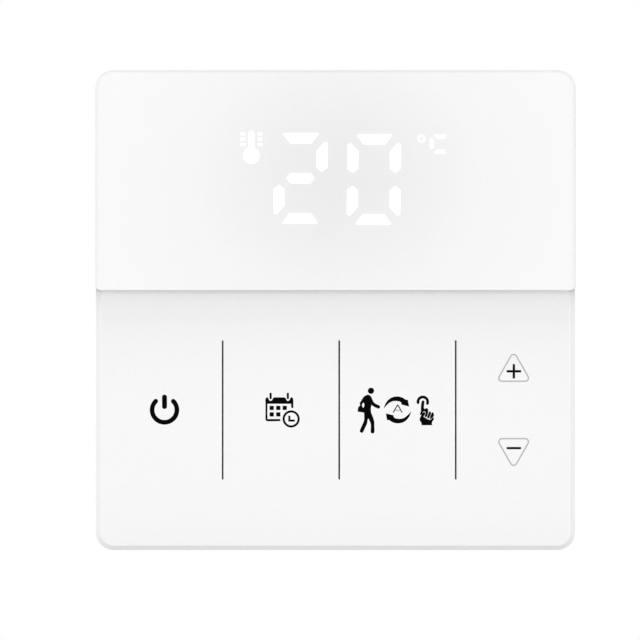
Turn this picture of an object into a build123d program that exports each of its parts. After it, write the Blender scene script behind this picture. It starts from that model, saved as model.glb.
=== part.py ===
"""Square wall thermostat in millimetres: a clip-on front panel over a wall base that sinks into a round wall box.

X runs to the right, Z up and Y into the wall. The origin is on the wall, in the middle of the face.
A height is a distance from the wall towards the room, so a height h lies at Y = -h.
"""

import os
from math import radians, tan

from build123d import *

# Face
FACE_WIDTH = 86.0
FACE_HEIGHT = 86.0
FACE_CORNER = 3.2
KEY_FRONT = 11.0
STEP_HEIGHT = 2.5
LIP_Z = 3.53
LIP_RAKE = 35.0
LIP_RAKE_DEPTH = 1.0
LIP_EDGE_ROUND = 0.1
LIP_CORNER_WIDTH = 1.0
LIP_CORNER_HEIGHT = 0.55
LIP_TRIM = 3.0
WINDOW_THICK = 2.0
WINDOW_ROUND = 0.9
KEY_THICK = 1.5
KEY_BEVEL = 0.85
SEAM_BEVEL = 0.15
KEY_GAP = 0.08
PEG_RADIUS = 1.0
PEG_LENGTH = 1.2
PEG_GAP = 0.1
PEG_INSET = 7.0

# Front shell
SHELL_LIFT = 0.8
SHELL_WALL = 1.8
WEB_THICK = 1.5
RISER_SETBACK = 0.2
RISER_WALL = 1.6
VENT_COUNT = 11
VENT_PITCH = 4.0
VENT_WIDTH = 1.4
VENT_LENGTH = 4.5
VENT_HEIGHT = 5.2
PRY_WIDTH = 9.0
PRY_DEPTH = 1.2
PRY_SPACING = 44.0

# Keys and display
KEY_CENTRE_X = 0.65
KEY_COLUMN_COUNT = 4
KEY_SIDE_MARGIN = 1.26
KEY_ROW_Z = -17.83
STEP_KEY_SPREAD = 7.52
TOUCH_RADIUS = 2.6
TOUCH_HOLE_GAP = 0.7
DISPLAY_X = 0.3
DISPLAY_Z = 23.6
DIGIT_WIDTH = 9.85
DIGIT_HEIGHT = 16.45
DIGIT_PITCH = 13.1
SEGMENT_WIDTH = 2.1
SEGMENT_GAP = 0.55
MODULE_WIDTH = 44.0
MODULE_HEIGHT = 21.0
MODULE_OFFSET_X = 1.0
MODULE_GAP = 0.25
DIFFUSER_THICK = 0.3
CAVITY_DEPTH = 3.0
BULB_RADIUS = 1.5
STEM_WIDTH = 1.15
BULB_OFFSET_X = -15.35
BULB_OFFSET_Z = 4.1
STEM_LENGTH = 3.2
DEGREE_RADIUS = 0.75
DEGREE_OFFSET_X = 15.05
DEGREE_OFFSET_Z = 7.1

# Display board
BOARD_BACK = 4.8
BOARD_THICK = 1.2
BOARD_SIDE_MARGIN = 7.0
BOARD_END_MARGIN = 4.0
BOARD_CORNER = 3.0
BOSS_RADIUS = 2.3
BOSS_EDGE = 5.0
SCREW_RADIUS = 0.8
SCREW_FIT = 0.03
SCREW_HEAD_RADIUS = 1.7
SCREW_HEAD = 1.1
SCREW_SLOT_WIDTH = 0.45
SCREW_SLOT_DEPTH = 0.55
SCREW_GRIP = 2.4
SCREW_PILOT = 2.8
CLEARANCE_HOLE = 0.25
CHIP_SIDE = 9.0
CHIP_THICK = 1.4
DRIVER_LENGTH = 9.9
DRIVER_WIDTH = 5.3
CHIP_X = -12.0
CHIP_Z = -12.0
DRIVER_X = 12.0
DRIVER_Z = -10.0
CELL_RADIUS = 6.25
CELL_THICK = 2.0
CELL_SIDE_INSET = 17.5
CELL_Z = 17.0
CLIP_THICK = 0.3
CLIP_WIDTH = 3.4
CLIP_GAP = 0.15
CLIP_FOOT = 1.2
SENSOR_SIDE_INSET = 12.0
SENSOR_EDGE_INSET = 2.1
SENSOR_RADIUS = 1.2
SENSOR_LEAD_RADIUS = 0.25
SENSOR_LEAD_SPACING = 1.3
SENSOR_STANDOFF = 1.4

# Catches of the front panel
CATCH_END_INSET = 15.9
CATCH_WIDTH = 6.0
CATCH_THICK = 1.1
CATCH_INSET = 2.4
BARB_REACH = 0.65
BARB_HEIGHT = 0.6
BARB_LIFT = 0.15
CATCH_GAP = 0.15
CATCH_FLEX_ROOM = 1.1

# Wall base
PLATE_GAP = 0.3
PLATE_THICK = 1.8
PLATE_CORNER = 1.6
PLATE_RIM = 0.9
PLATE_RIM_HEIGHT = 0.8
LEDGE_THICK = 0.9
SLOT_SPACING = 60.0
SLOT_WIDTH = 4.4
SLOT_LENGTH = 6.4
BOX_SIDE = 48.0
BOX_CORNER = 11.0
BOX_WALL = 1.6
BOX_SEAT = 0.7
BOX_SEAT_GAP = 0.15
BOX_DEPTH = 25.0
BOX_REAR_ROUND = 1.2
BOX_STEP_Z = -11.8
RIB_LENGTH = 14.0
RIB_THICK = 1.2
RIB_DROP = 2.0
BOX_SCREW_RADIUS = 1.0
BOX_SCREW_HEAD_RADIUS = 2.0
BOX_SCREW_HEAD = 0.9
BOX_SCREW_LENGTH = 4.2
BOX_PILOT = 4.6
UPPER_BOSS_INSET = 5.4
UPPER_BOSS_RADIUS = 2.6
LOWER_BOSS_INSET = 3.6
LOWER_BOSS_DROP = 2.2
LOWER_BOSS_RADIUS = 2.3

# Power board
POWER_FRONT = -2.4
POWER_THICK = 1.6
POWER_EDGE_GAP = 0.2
POST_X = 8.0
POST_INSET = 2.8
POST_RADIUS = 2.0
HEADER_Z = 14.0
PIN_COLUMNS = 4
PIN_ROWS = 2
PIN_PITCH = 2.54
PIN_WIDTH = 0.64
PIN_GAP = 0.1
PIN_TAIL = 1.0
PIN_ENGAGEMENT = 3.7
HEADER_BASE_HEIGHT = 2.4
SOCKET_LENGTH = 10.6
SOCKET_WIDTH = 5.4
SOCKET_BASE_GAP = 0.3
SOCKET_TOP = 0.5
SOCKET_GAP = 0.4

# Relay
RELAY_SIDE_GAP = 2.1
RELAY_STEP_GAP = 1.3
RELAY_LENGTH = 19.0
RELAY_WIDTH = 15.4
RELAY_HEADROOM = 1.45
RELAY_WALL = 0.7
RELAY_FIT = 0.05
RELAY_BASE_THICK = 2.0
RELAY_PIN_RADIUS = 0.5
RELAY_PIN_TAIL = 1.0
RELAY_PIN_INSET = 2.4
YOKE_THICK = 1.2
YOKE_WIDTH = 10.0
YOKE_END_GAP = 2.0
YOKE_HEIGHT = 10.0
COIL_X = 0.2
COIL_RADIUS = 4.3
FLANGE_RADIUS = 4.9
FLANGE_THICK = 0.8
CORE_RADIUS = 2.2
CORE_FIT = 0.1
POLE_GAP = 0.7
ARMATURE_THICK = 1.2
ARMATURE_SEAT = 0.05
ARMATURE_REACH = 9.6
ARMATURE_HEEL = 1.3
BLADE_THICK = 0.4
BLADE_WIDTH = 5.0
CONTACT_INSET = 2.0
CONTACT_RADIUS = 1.2
CONTACT_THICK = 0.5
CONTACT_GAP = 1.2
CONTACT_POST_THICK = 1.6
CONTACT_POST_WIDTH = 3.0

# Supply parts on the power board
TRANSFORMER_X = 11.0
TRANSFORMER_Z = -2.0
CORE_LENGTH = 12.6
CORE_DEPTH = 11.6
CORE_WIDTH = 5.0
CORE_LIMB = 2.2
WINDING_LENGTH = 7.6
WINDING_WIDTH = 10.4
WINDING_ROUND = 2.0
BOBBIN_THICK = 1.2
CAPACITOR_RADIUS = 4.0
CAPACITOR_HEIGHT = 14.0
CAPACITOR_X = -11.0
CAPACITOR_Z = 12.0
SMALL_CAPACITOR_RADIUS = 3.15
SMALL_CAPACITOR_HEIGHT = 11.0
SMALL_CAPACITOR_X = 11.0
SMALL_CAPACITOR_Z = 11.0
CAN_ROUND = 0.5
FUSE_RADIUS = 2.1
FUSE_HEIGHT = 7.0
FUSE_X = 18.6
FUSE_Z = 8.2
DISC_RADIUS = 3.6
DISC_THICK = 2.8
DISC_X = 20.2
DISC_Z = -2.0
DISC_LIFT = 1.0
LEAD_RADIUS = 0.35
LEAD_SPACING = 4.0

# Wire terminals
POLE_COUNT = 6
POLE_PITCH = 5.0
BLOCK_END_WALL = 0.75
BLOCK_OVERHANG = 0.2
BLOCK_STEP_GAP = 0.6
BLOCK_HEIGHT = 14.0
BLOCK_FIT = 0.15
CHAMBER_SIDE = 4.2
CHAMBER_FRONT_WALL = 0.8
CHAMBER_LENGTH = 10.1
ENTRY_WALL = 1.9
WIRE_WINDOW = 3.2
CAGE_SIDE = 4.0
CAGE_LENGTH = 6.6
CAGE_WALL = 0.65
CAGE_LIFT = 0.1
CAGE_TRAVEL = 3.0
BAR_WIDTH = 2.4
BAR_THICK = 0.8
BAR_DEPTH = 5.3
BAR_END_GAP = 0.1
BAR_LEG_WIDTH = 1.0
BAR_LEG_INSET = 1.8
BAR_LEG_GAP = 0.1
BAR_TAIL = 0.6
CLAMP_SCREW_RADIUS = 1.25
CLAMP_SCREW_FIT = 0.05
CLAMP_SCREW_TIP_GAP = 0.05
CLAMP_HEAD_RADIUS = 1.85
CLAMP_HEAD_THICK = 1.8
CLAMP_HEAD_GAP = 0.1
CLAMP_DRIVE_WIDTH = 0.6
CLAMP_DRIVE_DEPTH = 0.9
ACCESS_RADIUS = 1.65

# Heights and places that follow from the sizes above
WINDOW_FRONT = KEY_FRONT + STEP_HEIGHT
WINDOW_BACK = WINDOW_FRONT - WINDOW_THICK
KEY_BACK = KEY_FRONT - KEY_THICK
LOWER_WEB_BACK = KEY_BACK - WEB_THICK
UPPER_WEB_BACK = WINDOW_BACK - WEB_THICK
LIP_UNDERCUT = LIP_RAKE_DEPTH * tan(radians(LIP_RAKE))
RISER_Z = LIP_Z + LIP_UNDERCUT + RISER_SETBACK
TOP_Z = FACE_HEIGHT / 2
BOARD_FRONT = BOARD_BACK + BOARD_THICK
BOARD_WIDTH = FACE_WIDTH - 2 * BOARD_SIDE_MARGIN
BOARD_HEIGHT = FACE_HEIGHT - 2 * BOARD_END_MARGIN
BOSS_X = BOARD_WIDTH / 2 - BOSS_EDGE
BOSS_Z = BOARD_HEIGHT / 2 - BOSS_EDGE
SENSOR_X = SENSOR_SIDE_INSET - BOARD_WIDTH / 2
CELL_X = CELL_SIDE_INSET - BOARD_WIDTH / 2
SENSOR_Z = SENSOR_EDGE_INSET - BOARD_HEIGHT / 2
PLATE_WIDTH = FACE_WIDTH - 2 * (SHELL_WALL + PLATE_GAP)
PLATE_HEIGHT = FACE_HEIGHT - 2 * (SHELL_WALL + PLATE_GAP)
CATCH_X = PLATE_WIDTH / 2 - CATCH_INSET
CATCH_Z = PLATE_HEIGHT / 2 - CATCH_END_INSET
POWER_BACK = POWER_FRONT - POWER_THICK
SHALLOW_REAR = POWER_BACK - BOX_WALL
BOX_FLOOR = BOX_WALL - BOX_DEPTH
BOX_INSIDE = BOX_SIDE - 2 * BOX_WALL
UPPER_BOSS_OFFSET = BOX_INSIDE / 2 - UPPER_BOSS_INSET
LOWER_BOSS_X = BOX_INSIDE / 2 - LOWER_BOSS_INSET
LOWER_BOSS_Z = BOX_STEP_Z - LOWER_BOSS_DROP
POST_Z = BOX_INSIDE / 2 - POST_INSET
BLOCK_LOW_Z = -BOX_INSIDE / 2 - BLOCK_OVERHANG
BLOCK_HIGH_Z = BOX_STEP_Z - BLOCK_STEP_GAP
CHAMBER_Z = BLOCK_LOW_Z + ENTRY_WALL + CHAMBER_SIDE / 2
BAR_LEG_Z = BLOCK_HIGH_Z - BAR_LEG_INSET
BLOCK_REAR = POWER_BACK - BLOCK_HEIGHT
CHAMBER_FRONT = POWER_BACK - CHAMBER_FRONT_WALL
CHAMBER_REAR = CHAMBER_FRONT - CHAMBER_LENGTH
CAGE_FRONT = CHAMBER_FRONT - CAGE_LIFT
CAGE_REAR = CAGE_FRONT - CAGE_LENGTH
BAR_FRONT = POWER_BACK - BAR_DEPTH
BAR_REAR = BAR_FRONT - BAR_THICK
CLAMP_TIP = BAR_REAR - CLAMP_SCREW_TIP_GAP
CLAMP_HEAD_FRONT = CHAMBER_REAR - CLAMP_HEAD_GAP
CLAMP_HEAD_REAR = CLAMP_HEAD_FRONT - CLAMP_HEAD_THICK
RELAY_X = RELAY_SIDE_GAP + (RELAY_LENGTH - BOX_INSIDE) / 2
RELAY_Z = BOX_STEP_Z + BOX_WALL + RELAY_STEP_GAP + RELAY_WIDTH / 2
RELAY_FLOOR = POWER_BACK - RELAY_BASE_THICK
YOKE_REAR = RELAY_FLOOR - YOKE_HEIGHT
ARMATURE_FRONT = YOKE_REAR - ARMATURE_SEAT
RELAY_REAR = ARMATURE_FRONT - ARMATURE_THICK - RELAY_HEADROOM - RELAY_WALL
HINGE_X = RELAY_X + RELAY_LENGTH / 2 - RELAY_WALL - YOKE_END_GAP - YOKE_THICK
CONTACT_X = RELAY_X - RELAY_LENGTH / 2 + RELAY_WALL + CONTACT_INSET

KEY_PITCH = (FACE_WIDTH - 2 * KEY_SIDE_MARGIN) / KEY_COLUMN_COUNT
KEY_COLUMNS = [KEY_CENTRE_X + (i - (KEY_COLUMN_COUNT - 1) / 2) * KEY_PITCH for i in range(KEY_COLUMN_COUNT)]
STEP_KEYS = [(KEY_COLUMNS[-1], KEY_ROW_Z + side * STEP_KEY_SPREAD) for side in (1, -1)]
TOUCH_PLACES = [(x, KEY_ROW_Z) for x in KEY_COLUMNS[:-1]] + STEP_KEYS
POLE_PLACES = [(i - (POLE_COUNT - 1) / 2) * POLE_PITCH for i in range(POLE_COUNT)]
BOARD_BOSSES = [(sx * BOSS_X, sz * BOSS_Z) for sx in (-1, 1) for sz in (-1, 1)]
CATCH_PLACES = [(side, sz * CATCH_Z) for side in (-1, 1) for sz in (-1, 1)]
UPPER_BOSSES = [(side * UPPER_BOSS_OFFSET, UPPER_BOSS_OFFSET) for side in (-1, 1)]
LOWER_BOSSES = [(side * LOWER_BOSS_X, LOWER_BOSS_Z) for side in (-1, 1)]
POST_PLACES = [(side * POST_X, POST_Z) for side in (-1, 1)]
PIN_PLACES = [
    ((i - (PIN_COLUMNS - 1) / 2) * PIN_PITCH, HEADER_Z + (j - (PIN_ROWS - 1) / 2) * PIN_PITCH)
    for i in range(PIN_COLUMNS)
    for j in range(PIN_ROWS)
]
RELAY_PINS = [
    (RELAY_X + sx * (RELAY_LENGTH / 2 - RELAY_PIN_INSET), RELAY_Z + sz * (RELAY_WIDTH / 2 - RELAY_PIN_INSET))
    for sx in (-1, 1)
    for sz in (-1, 1)
]


def slab(outline, low, high):
    """An outline drawn in X and Z, filled between two heights."""
    return extrude(Plane.XZ.offset(low) * outline, high - low)


def block(x, z, width, height, low, high):
    """A box centred at x and z between two heights."""
    return slab(Pos(x, z) * Rectangle(width, height), low, high)


def rod(x, z, radius, low, high):
    """A round bar square to the wall between two heights."""
    return slab(Pos(x, z) * Circle(radius), low, high)


def upper_part(outline, low_z):
    """The part of a face outline above a level."""
    return outline & (Pos(0, low_z + FACE_HEIGHT / 2) * Rectangle(2 * FACE_WIDTH, FACE_HEIGHT))


def lower_part(outline, high_z):
    """The part of a face outline below a level."""
    return outline & (Pos(0, high_z - FACE_HEIGHT / 2) * Rectangle(2 * FACE_WIDTH, FACE_HEIGHT))


def face_outline(inset=0.0):
    """The rounded square of the face, drawn in by an inset."""
    corner = max(FACE_CORNER - inset, FACE_CORNER / 4)
    return RectangleRounded(FACE_WIDTH - 2 * inset, FACE_HEIGHT - 2 * inset, corner)


def box_outline(inset=0.0):
    """The rounded square of the wall box part, drawn in by an inset."""
    return RectangleRounded(BOX_SIDE - 2 * inset, BOX_SIDE - 2 * inset, BOX_CORNER - inset)


def edges_at(shape, height, test):
    """The edges that lie flat at a height and whose middle passes a test."""
    level = shape.edges().filter_by_position(Axis.Y, -height - 1e-3, -height + 1e-3)
    return [edge for edge in level if test(edge.center())]


def pan_screw(x, z, seat, towards, grip):
    """A small pan-head screw whose head rests at a height and whose shank points towards +1 room or -1 wall."""
    head_end = seat - towards * SCREW_HEAD
    slot_end = head_end + towards * SCREW_SLOT_DEPTH
    head = rod(x, z, SCREW_HEAD_RADIUS, min(seat, head_end), max(seat, head_end))
    shank_end = seat + towards * grip
    shank = rod(x, z, SCREW_RADIUS, min(seat, shank_end), max(seat, shank_end))
    screw = head + shank
    for width, height in ((2 * SCREW_HEAD_RADIUS, SCREW_SLOT_WIDTH), (SCREW_SLOT_WIDTH, 2 * SCREW_HEAD_RADIUS)):
        cross = Rectangle(width * 0.7 if width > height else width, height * 0.7 if height > width else height)
        screw -= slab(Pos(x, z) * cross, min(head_end, slot_end), max(head_end, slot_end))
    return screw


def segment_outlines(x, z):
    """The seven bars of one display digit about its middle."""
    half_width = DIGIT_WIDTH / 2
    half_height = DIGIT_HEIGHT / 2
    bar = SEGMENT_WIDTH
    tip = bar / 2
    flat = half_width - bar - SEGMENT_GAP / 2
    long_flat = half_width - SEGMENT_GAP - bar * 0.45
    top = [(-long_flat, half_height), (long_flat, half_height), (flat - tip, half_height - bar), (tip - flat, half_height - bar)]
    middle = [(-flat, 0), (tip - flat, tip), (flat - tip, tip), (flat, 0), (flat - tip, -tip), (tip - flat, -tip)]
    side_top = half_height - bar * 0.7
    side = [
        (half_width, side_top),
        (half_width, SEGMENT_GAP + tip),
        (half_width - tip, SEGMENT_GAP),
        (half_width - bar, SEGMENT_GAP + tip),
        (half_width - bar, side_top - bar * 0.8),
        (half_width - bar * 0.25, side_top),
    ]
    bars = [middle]
    for sz in (1, -1):
        bars.append([(px, sz * pz) for px, pz in top])
        for sx in (1, -1):
            bars.append([(sx * px, sz * pz) for px, pz in side])
    return [Pos(x, z) * make_face(Polyline(*points, close=True)) for points in bars]


def display_outlines():
    """Every lit shape of the display: two digits, the thermometer and the degree ring."""
    shapes = []
    for side in (-1, 1):
        shapes += segment_outlines(DISPLAY_X + side * DIGIT_PITCH / 2, DISPLAY_Z)
    bulb_x = DISPLAY_X + BULB_OFFSET_X
    bulb_z = DISPLAY_Z + BULB_OFFSET_Z
    stem = Pos(bulb_x, bulb_z + STEM_LENGTH / 2) * Rectangle(STEM_WIDTH, STEM_LENGTH)
    shapes.append(Pos(bulb_x, bulb_z) * Circle(BULB_RADIUS) + stem)
    shapes.append(Pos(DISPLAY_X + DEGREE_OFFSET_X, DISPLAY_Z + DEGREE_OFFSET_Z) * Circle(DEGREE_RADIUS))
    return shapes


# Front panel
def window_pegs():
    """Places of the pegs that locate the window on the shell."""
    low_z = RISER_Z + RISER_WALL + PEG_INSET / 2
    return [(side * (FACE_WIDTH / 2 - PEG_INSET), z) for side in (-1, 1) for z in (low_z, TOP_Z - PEG_INSET)]


def key_pegs():
    """Places of the pegs that locate the key panel on the shell."""
    return [(side * (FACE_WIDTH / 2 - PEG_INSET), RISER_Z - PEG_INSET / 2) for side in (-1, 1)]


def make_display_window():
    foot = LIP_Z - LIP_TRIM
    window = slab(upper_part(face_outline(), foot), WINDOW_BACK, WINDOW_FRONT)
    window = chamfer(edges_at(window, WINDOW_BACK, lambda c: c.Z > foot + 0.01), SEAM_BEVEL)
    window = fillet(edges_at(window, WINDOW_FRONT, lambda c: c.Z > foot + 0.01), WINDOW_ROUND)
    rake = Polygon(
        (-WINDOW_FRONT, foot),
        (-WINDOW_BACK, foot),
        (-WINDOW_BACK, LIP_Z + LIP_UNDERCUT),
        (LIP_RAKE_DEPTH - WINDOW_FRONT, LIP_Z + LIP_UNDERCUT),
        (-WINDOW_FRONT, LIP_Z),
        align=None,
    )
    window -= extrude(Plane.YZ * rake, FACE_WIDTH, both=True)
    for side in (-1, 1):
        corner = Polyline(
            (side * FACE_WIDTH / 2, LIP_Z),
            (side * (FACE_WIDTH / 2 - LIP_CORNER_WIDTH), LIP_Z),
            (side * FACE_WIDTH / 2, LIP_Z + LIP_CORNER_HEIGHT),
            close=True,
        )
        window -= slab(make_face(corner), WINDOW_BACK, WINDOW_FRONT)
    window = fillet(edges_at(window, WINDOW_FRONT, lambda c: abs(c.Z - LIP_Z) < 0.01), LIP_EDGE_ROUND)
    for x, z in window_pegs():
        window += rod(x, z, PEG_RADIUS, WINDOW_BACK - PEG_LENGTH, WINDOW_BACK)
    return window


def make_key_panel():
    top = RISER_Z - KEY_GAP
    panel = slab(lower_part(face_outline(), top), KEY_BACK, KEY_FRONT)
    panel = chamfer(edges_at(panel, KEY_FRONT, lambda c: c.Z < top - 0.01), KEY_BEVEL)
    panel = chamfer(edges_at(panel, KEY_BACK, lambda c: c.Z < top - 0.01), SEAM_BEVEL)
    for x, z in key_pegs():
        panel += rod(x, z, PEG_RADIUS, KEY_BACK - PEG_LENGTH, KEY_BACK)
    return panel


def make_front_shell():
    shell = slab(face_outline(), SHELL_LIFT, KEY_BACK)
    shell += slab(upper_part(face_outline(), RISER_Z), KEY_BACK, WINDOW_BACK)
    shell -= slab(face_outline(SHELL_WALL), SHELL_LIFT, LOWER_WEB_BACK)
    inner_top = upper_part(face_outline(SHELL_WALL), RISER_Z + RISER_WALL)
    shell -= slab(inner_top, LOWER_WEB_BACK, UPPER_WEB_BACK)
    shell -= block(
        DISPLAY_X + MODULE_OFFSET_X,
        DISPLAY_Z,
        MODULE_WIDTH + 2 * MODULE_GAP,
        MODULE_HEIGHT + 2 * MODULE_GAP,
        UPPER_WEB_BACK,
        WINDOW_BACK,
    )
    for x, z in TOUCH_PLACES:
        shell -= rod(x, z, TOUCH_RADIUS + TOUCH_HOLE_GAP, LOWER_WEB_BACK, KEY_BACK)
    for x, z in window_pegs():
        shell -= rod(x, z, PEG_RADIUS + PEG_GAP, UPPER_WEB_BACK, WINDOW_BACK)
    for x, z in key_pegs():
        shell -= rod(x, z, PEG_RADIUS + PEG_GAP, LOWER_WEB_BACK, KEY_BACK)
    for x, z in BOARD_BOSSES:
        web_back = UPPER_WEB_BACK if z > RISER_Z else LOWER_WEB_BACK
        shell += rod(x, z, BOSS_RADIUS, BOARD_FRONT, web_back)
        shell -= rod(x, z, SCREW_RADIUS + SCREW_FIT, BOARD_FRONT, BOARD_FRONT + SCREW_PILOT)
    return shell - vent_slots() - pry_notches()


def vent_slots():
    """Slots through the top and bottom walls that let room air reach the sensor."""
    slot = Rot(0, 0, 90) * SlotOverall(VENT_LENGTH, VENT_WIDTH)
    slots = []
    for i in range(VENT_COUNT):
        x = (i - (VENT_COUNT - 1) / 2) * VENT_PITCH
        for wall_z in (-TOP_Z, TOP_Z - SHELL_WALL):
            slots.append(extrude(Pos(x, -VENT_HEIGHT, wall_z) * slot, SHELL_WALL))
    return slots


def pry_notches():
    """Notches in the bottom edge where a screwdriver lifts the panel off."""
    middle = -TOP_Z + SHELL_WALL / 2
    return [
        block(side * PRY_SPACING / 2, middle, PRY_WIDTH, SHELL_WALL, SHELL_LIFT, SHELL_LIFT + PRY_DEPTH)
        for side in (-1, 1)
    ]


def make_panel_catches():
    """Four springy arms of the shell whose barbs hook behind the base plate."""
    catches = []
    for side, z in CATCH_PLACES:
        root = UPPER_WEB_BACK if z > RISER_Z else LOWER_WEB_BACK
        arm = block(side * CATCH_X, z, CATCH_THICK, CATCH_WIDTH, BARB_LIFT, root)
        barb_x = side * (CATCH_X + CATCH_THICK / 2 + BARB_REACH / 2)
        barb = block(barb_x, z, BARB_REACH, CATCH_WIDTH, BARB_LIFT, BARB_LIFT + BARB_HEIGHT)
        catches.append(arm + barb)
    return Part() + catches


def make_display_board():
    board = slab(RectangleRounded(BOARD_WIDTH, BOARD_HEIGHT, BOARD_CORNER), BOARD_BACK, BOARD_FRONT)
    for x, z in BOARD_BOSSES:
        board -= rod(x, z, SCREW_RADIUS + CLEARANCE_HOLE, BOARD_BACK, BOARD_FRONT)
    return board


def make_board_screws():
    return Part() + [pan_screw(x, z, BOARD_BACK, 1, BOARD_THICK + SCREW_GRIP) for x, z in BOARD_BOSSES]


def make_led_module():
    front = WINDOW_BACK - DIFFUSER_THICK
    module = block(DISPLAY_X + MODULE_OFFSET_X, DISPLAY_Z, MODULE_WIDTH, MODULE_HEIGHT, BOARD_FRONT, front)
    return module - [slab(shape, front - CAVITY_DEPTH, front) for shape in display_outlines()]


def make_diffuser_film():
    return block(
        DISPLAY_X + MODULE_OFFSET_X, DISPLAY_Z, MODULE_WIDTH, MODULE_HEIGHT, WINDOW_BACK - DIFFUSER_THICK, WINDOW_BACK
    )


def make_touch_pads():
    return Part() + [rod(x, z, TOUCH_RADIUS, BOARD_FRONT, KEY_BACK) for x, z in TOUCH_PLACES]


def make_control_chips():
    low = BOARD_BACK - CHIP_THICK
    controller = block(CHIP_X, CHIP_Z, CHIP_SIDE, CHIP_SIDE, low, BOARD_BACK)
    driver = block(DRIVER_X, DRIVER_Z, DRIVER_LENGTH, DRIVER_WIDTH, low, BOARD_BACK)
    return Part() + [controller, driver]


def make_backup_cell():
    return rod(CELL_X, CELL_Z, CELL_RADIUS, BOARD_BACK - CELL_THICK, BOARD_BACK)


def make_cell_clip():
    span = 2 * (CELL_RADIUS + CLIP_GAP)
    low = BOARD_BACK - CELL_THICK - CLIP_THICK
    clip = block(CELL_X, CELL_Z, span + 2 * CLIP_THICK, CLIP_WIDTH, low, BOARD_BACK - CELL_THICK)
    for side in (-1, 1):
        leg_x = CELL_X + side * (span + CLIP_THICK) / 2
        clip += block(leg_x, CELL_Z, CLIP_THICK, CLIP_WIDTH, low, BOARD_BACK)
        foot_x = CELL_X + side * (span / 2 + CLIP_THICK + CLIP_FOOT / 2)
        clip += block(foot_x, CELL_Z, CLIP_FOOT, CLIP_WIDTH, BOARD_BACK - CLIP_THICK, BOARD_BACK)
    return clip


def make_room_sensor():
    height = BOARD_BACK - SENSOR_STANDOFF
    sensor = Pos(SENSOR_X, -height, SENSOR_Z) * Sphere(SENSOR_RADIUS)
    for side in (-1, 1):
        lead_x = SENSOR_X + side * SENSOR_LEAD_SPACING / 2
        sensor += rod(lead_x, SENSOR_Z, SENSOR_LEAD_RADIUS, height, BOARD_BACK)
    return sensor


def make_header_socket():
    low = POWER_FRONT + HEADER_BASE_HEIGHT + SOCKET_BASE_GAP
    socket = block(0, HEADER_Z, SOCKET_LENGTH, SOCKET_WIDTH, low, BOARD_BACK)
    hole = PIN_WIDTH + 2 * PIN_GAP
    return socket - [block(x, z, hole, hole, low, BOARD_BACK - SOCKET_TOP) for x, z in PIN_PLACES]


# Wall base
def make_base_plate():
    plate = slab(RectangleRounded(PLATE_WIDTH, PLATE_HEIGHT, PLATE_CORNER), 0, PLATE_THICK)
    rim = RectangleRounded(PLATE_WIDTH, PLATE_HEIGHT, PLATE_CORNER)
    rim -= RectangleRounded(PLATE_WIDTH - 2 * PLATE_RIM, PLATE_HEIGHT - 2 * PLATE_RIM, PLATE_CORNER - PLATE_RIM)
    plate += slab(rim, PLATE_THICK, PLATE_THICK + PLATE_RIM_HEIGHT)
    plate -= slab(box_outline(-BOX_SEAT_GAP), 0, BOX_SEAT)
    for side in (-1, 1):
        slot = Pos(side * SLOT_SPACING / 2, 0) * SlotOverall(SLOT_LENGTH, SLOT_WIDTH)
        plate -= slab(slot, 0, PLATE_THICK)
    plate -= block(
        0, HEADER_Z, SOCKET_LENGTH + 2 * SOCKET_GAP, SOCKET_WIDTH + 2 * SOCKET_GAP, 0, PLATE_THICK
    )
    plate -= catch_windows()
    plate += locating_ribs()
    for x, z in UPPER_BOSSES + LOWER_BOSSES:
        plate -= rod(x, z, BOX_SCREW_RADIUS + CLEARANCE_HOLE, 0, PLATE_THICK)
        plate -= rod(x, z, BOX_SCREW_HEAD_RADIUS + CLEARANCE_HOLE, PLATE_THICK - BOX_SCREW_HEAD, PLATE_THICK)
    return plate


def catch_windows():
    """Windows for the panel's catches, each with a ledge that its barb hooks behind."""
    cuts = []
    outer = CATCH_X + CATCH_THICK / 2 + CATCH_GAP
    inner = CATCH_X - CATCH_THICK / 2 - CATCH_FLEX_ROOM
    height = CATCH_WIDTH + 2 * CATCH_GAP
    ledge_end = outer + BARB_REACH + CATCH_GAP
    for side, z in CATCH_PLACES:
        middle = side * (outer + inner) / 2
        cuts.append(block(middle, z, outer - inner, height, 0, PLATE_THICK))
        recess = side * (outer + ledge_end) / 2
        cuts.append(block(recess, z, ledge_end - outer, height, 0, PLATE_THICK - LEDGE_THICK))
    return cuts


def locating_ribs():
    """Short ribs under the plate that centre it inside the box part."""
    reach = BOX_INSIDE / 2 - BOX_SEAT_GAP - RIB_THICK / 2
    ribs = []
    for side in (-1, 1):
        ribs.append(block(side * reach, 0, RIB_THICK, RIB_LENGTH, -RIB_DROP, BOX_SEAT))
        ribs.append(block(0, side * reach, RIB_LENGTH, RIB_THICK, -RIB_DROP, BOX_SEAT))
    return ribs


def block_outline(gap=0.0):
    """The terminal block's outline, grown by a gap."""
    length = POLE_COUNT * POLE_PITCH + 2 * BLOCK_END_WALL
    middle = (BLOCK_LOW_Z + BLOCK_HIGH_Z) / 2
    return Pos(0, middle) * Rectangle(length + 2 * gap, BLOCK_HIGH_Z - BLOCK_LOW_Z + 2 * gap)


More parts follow.
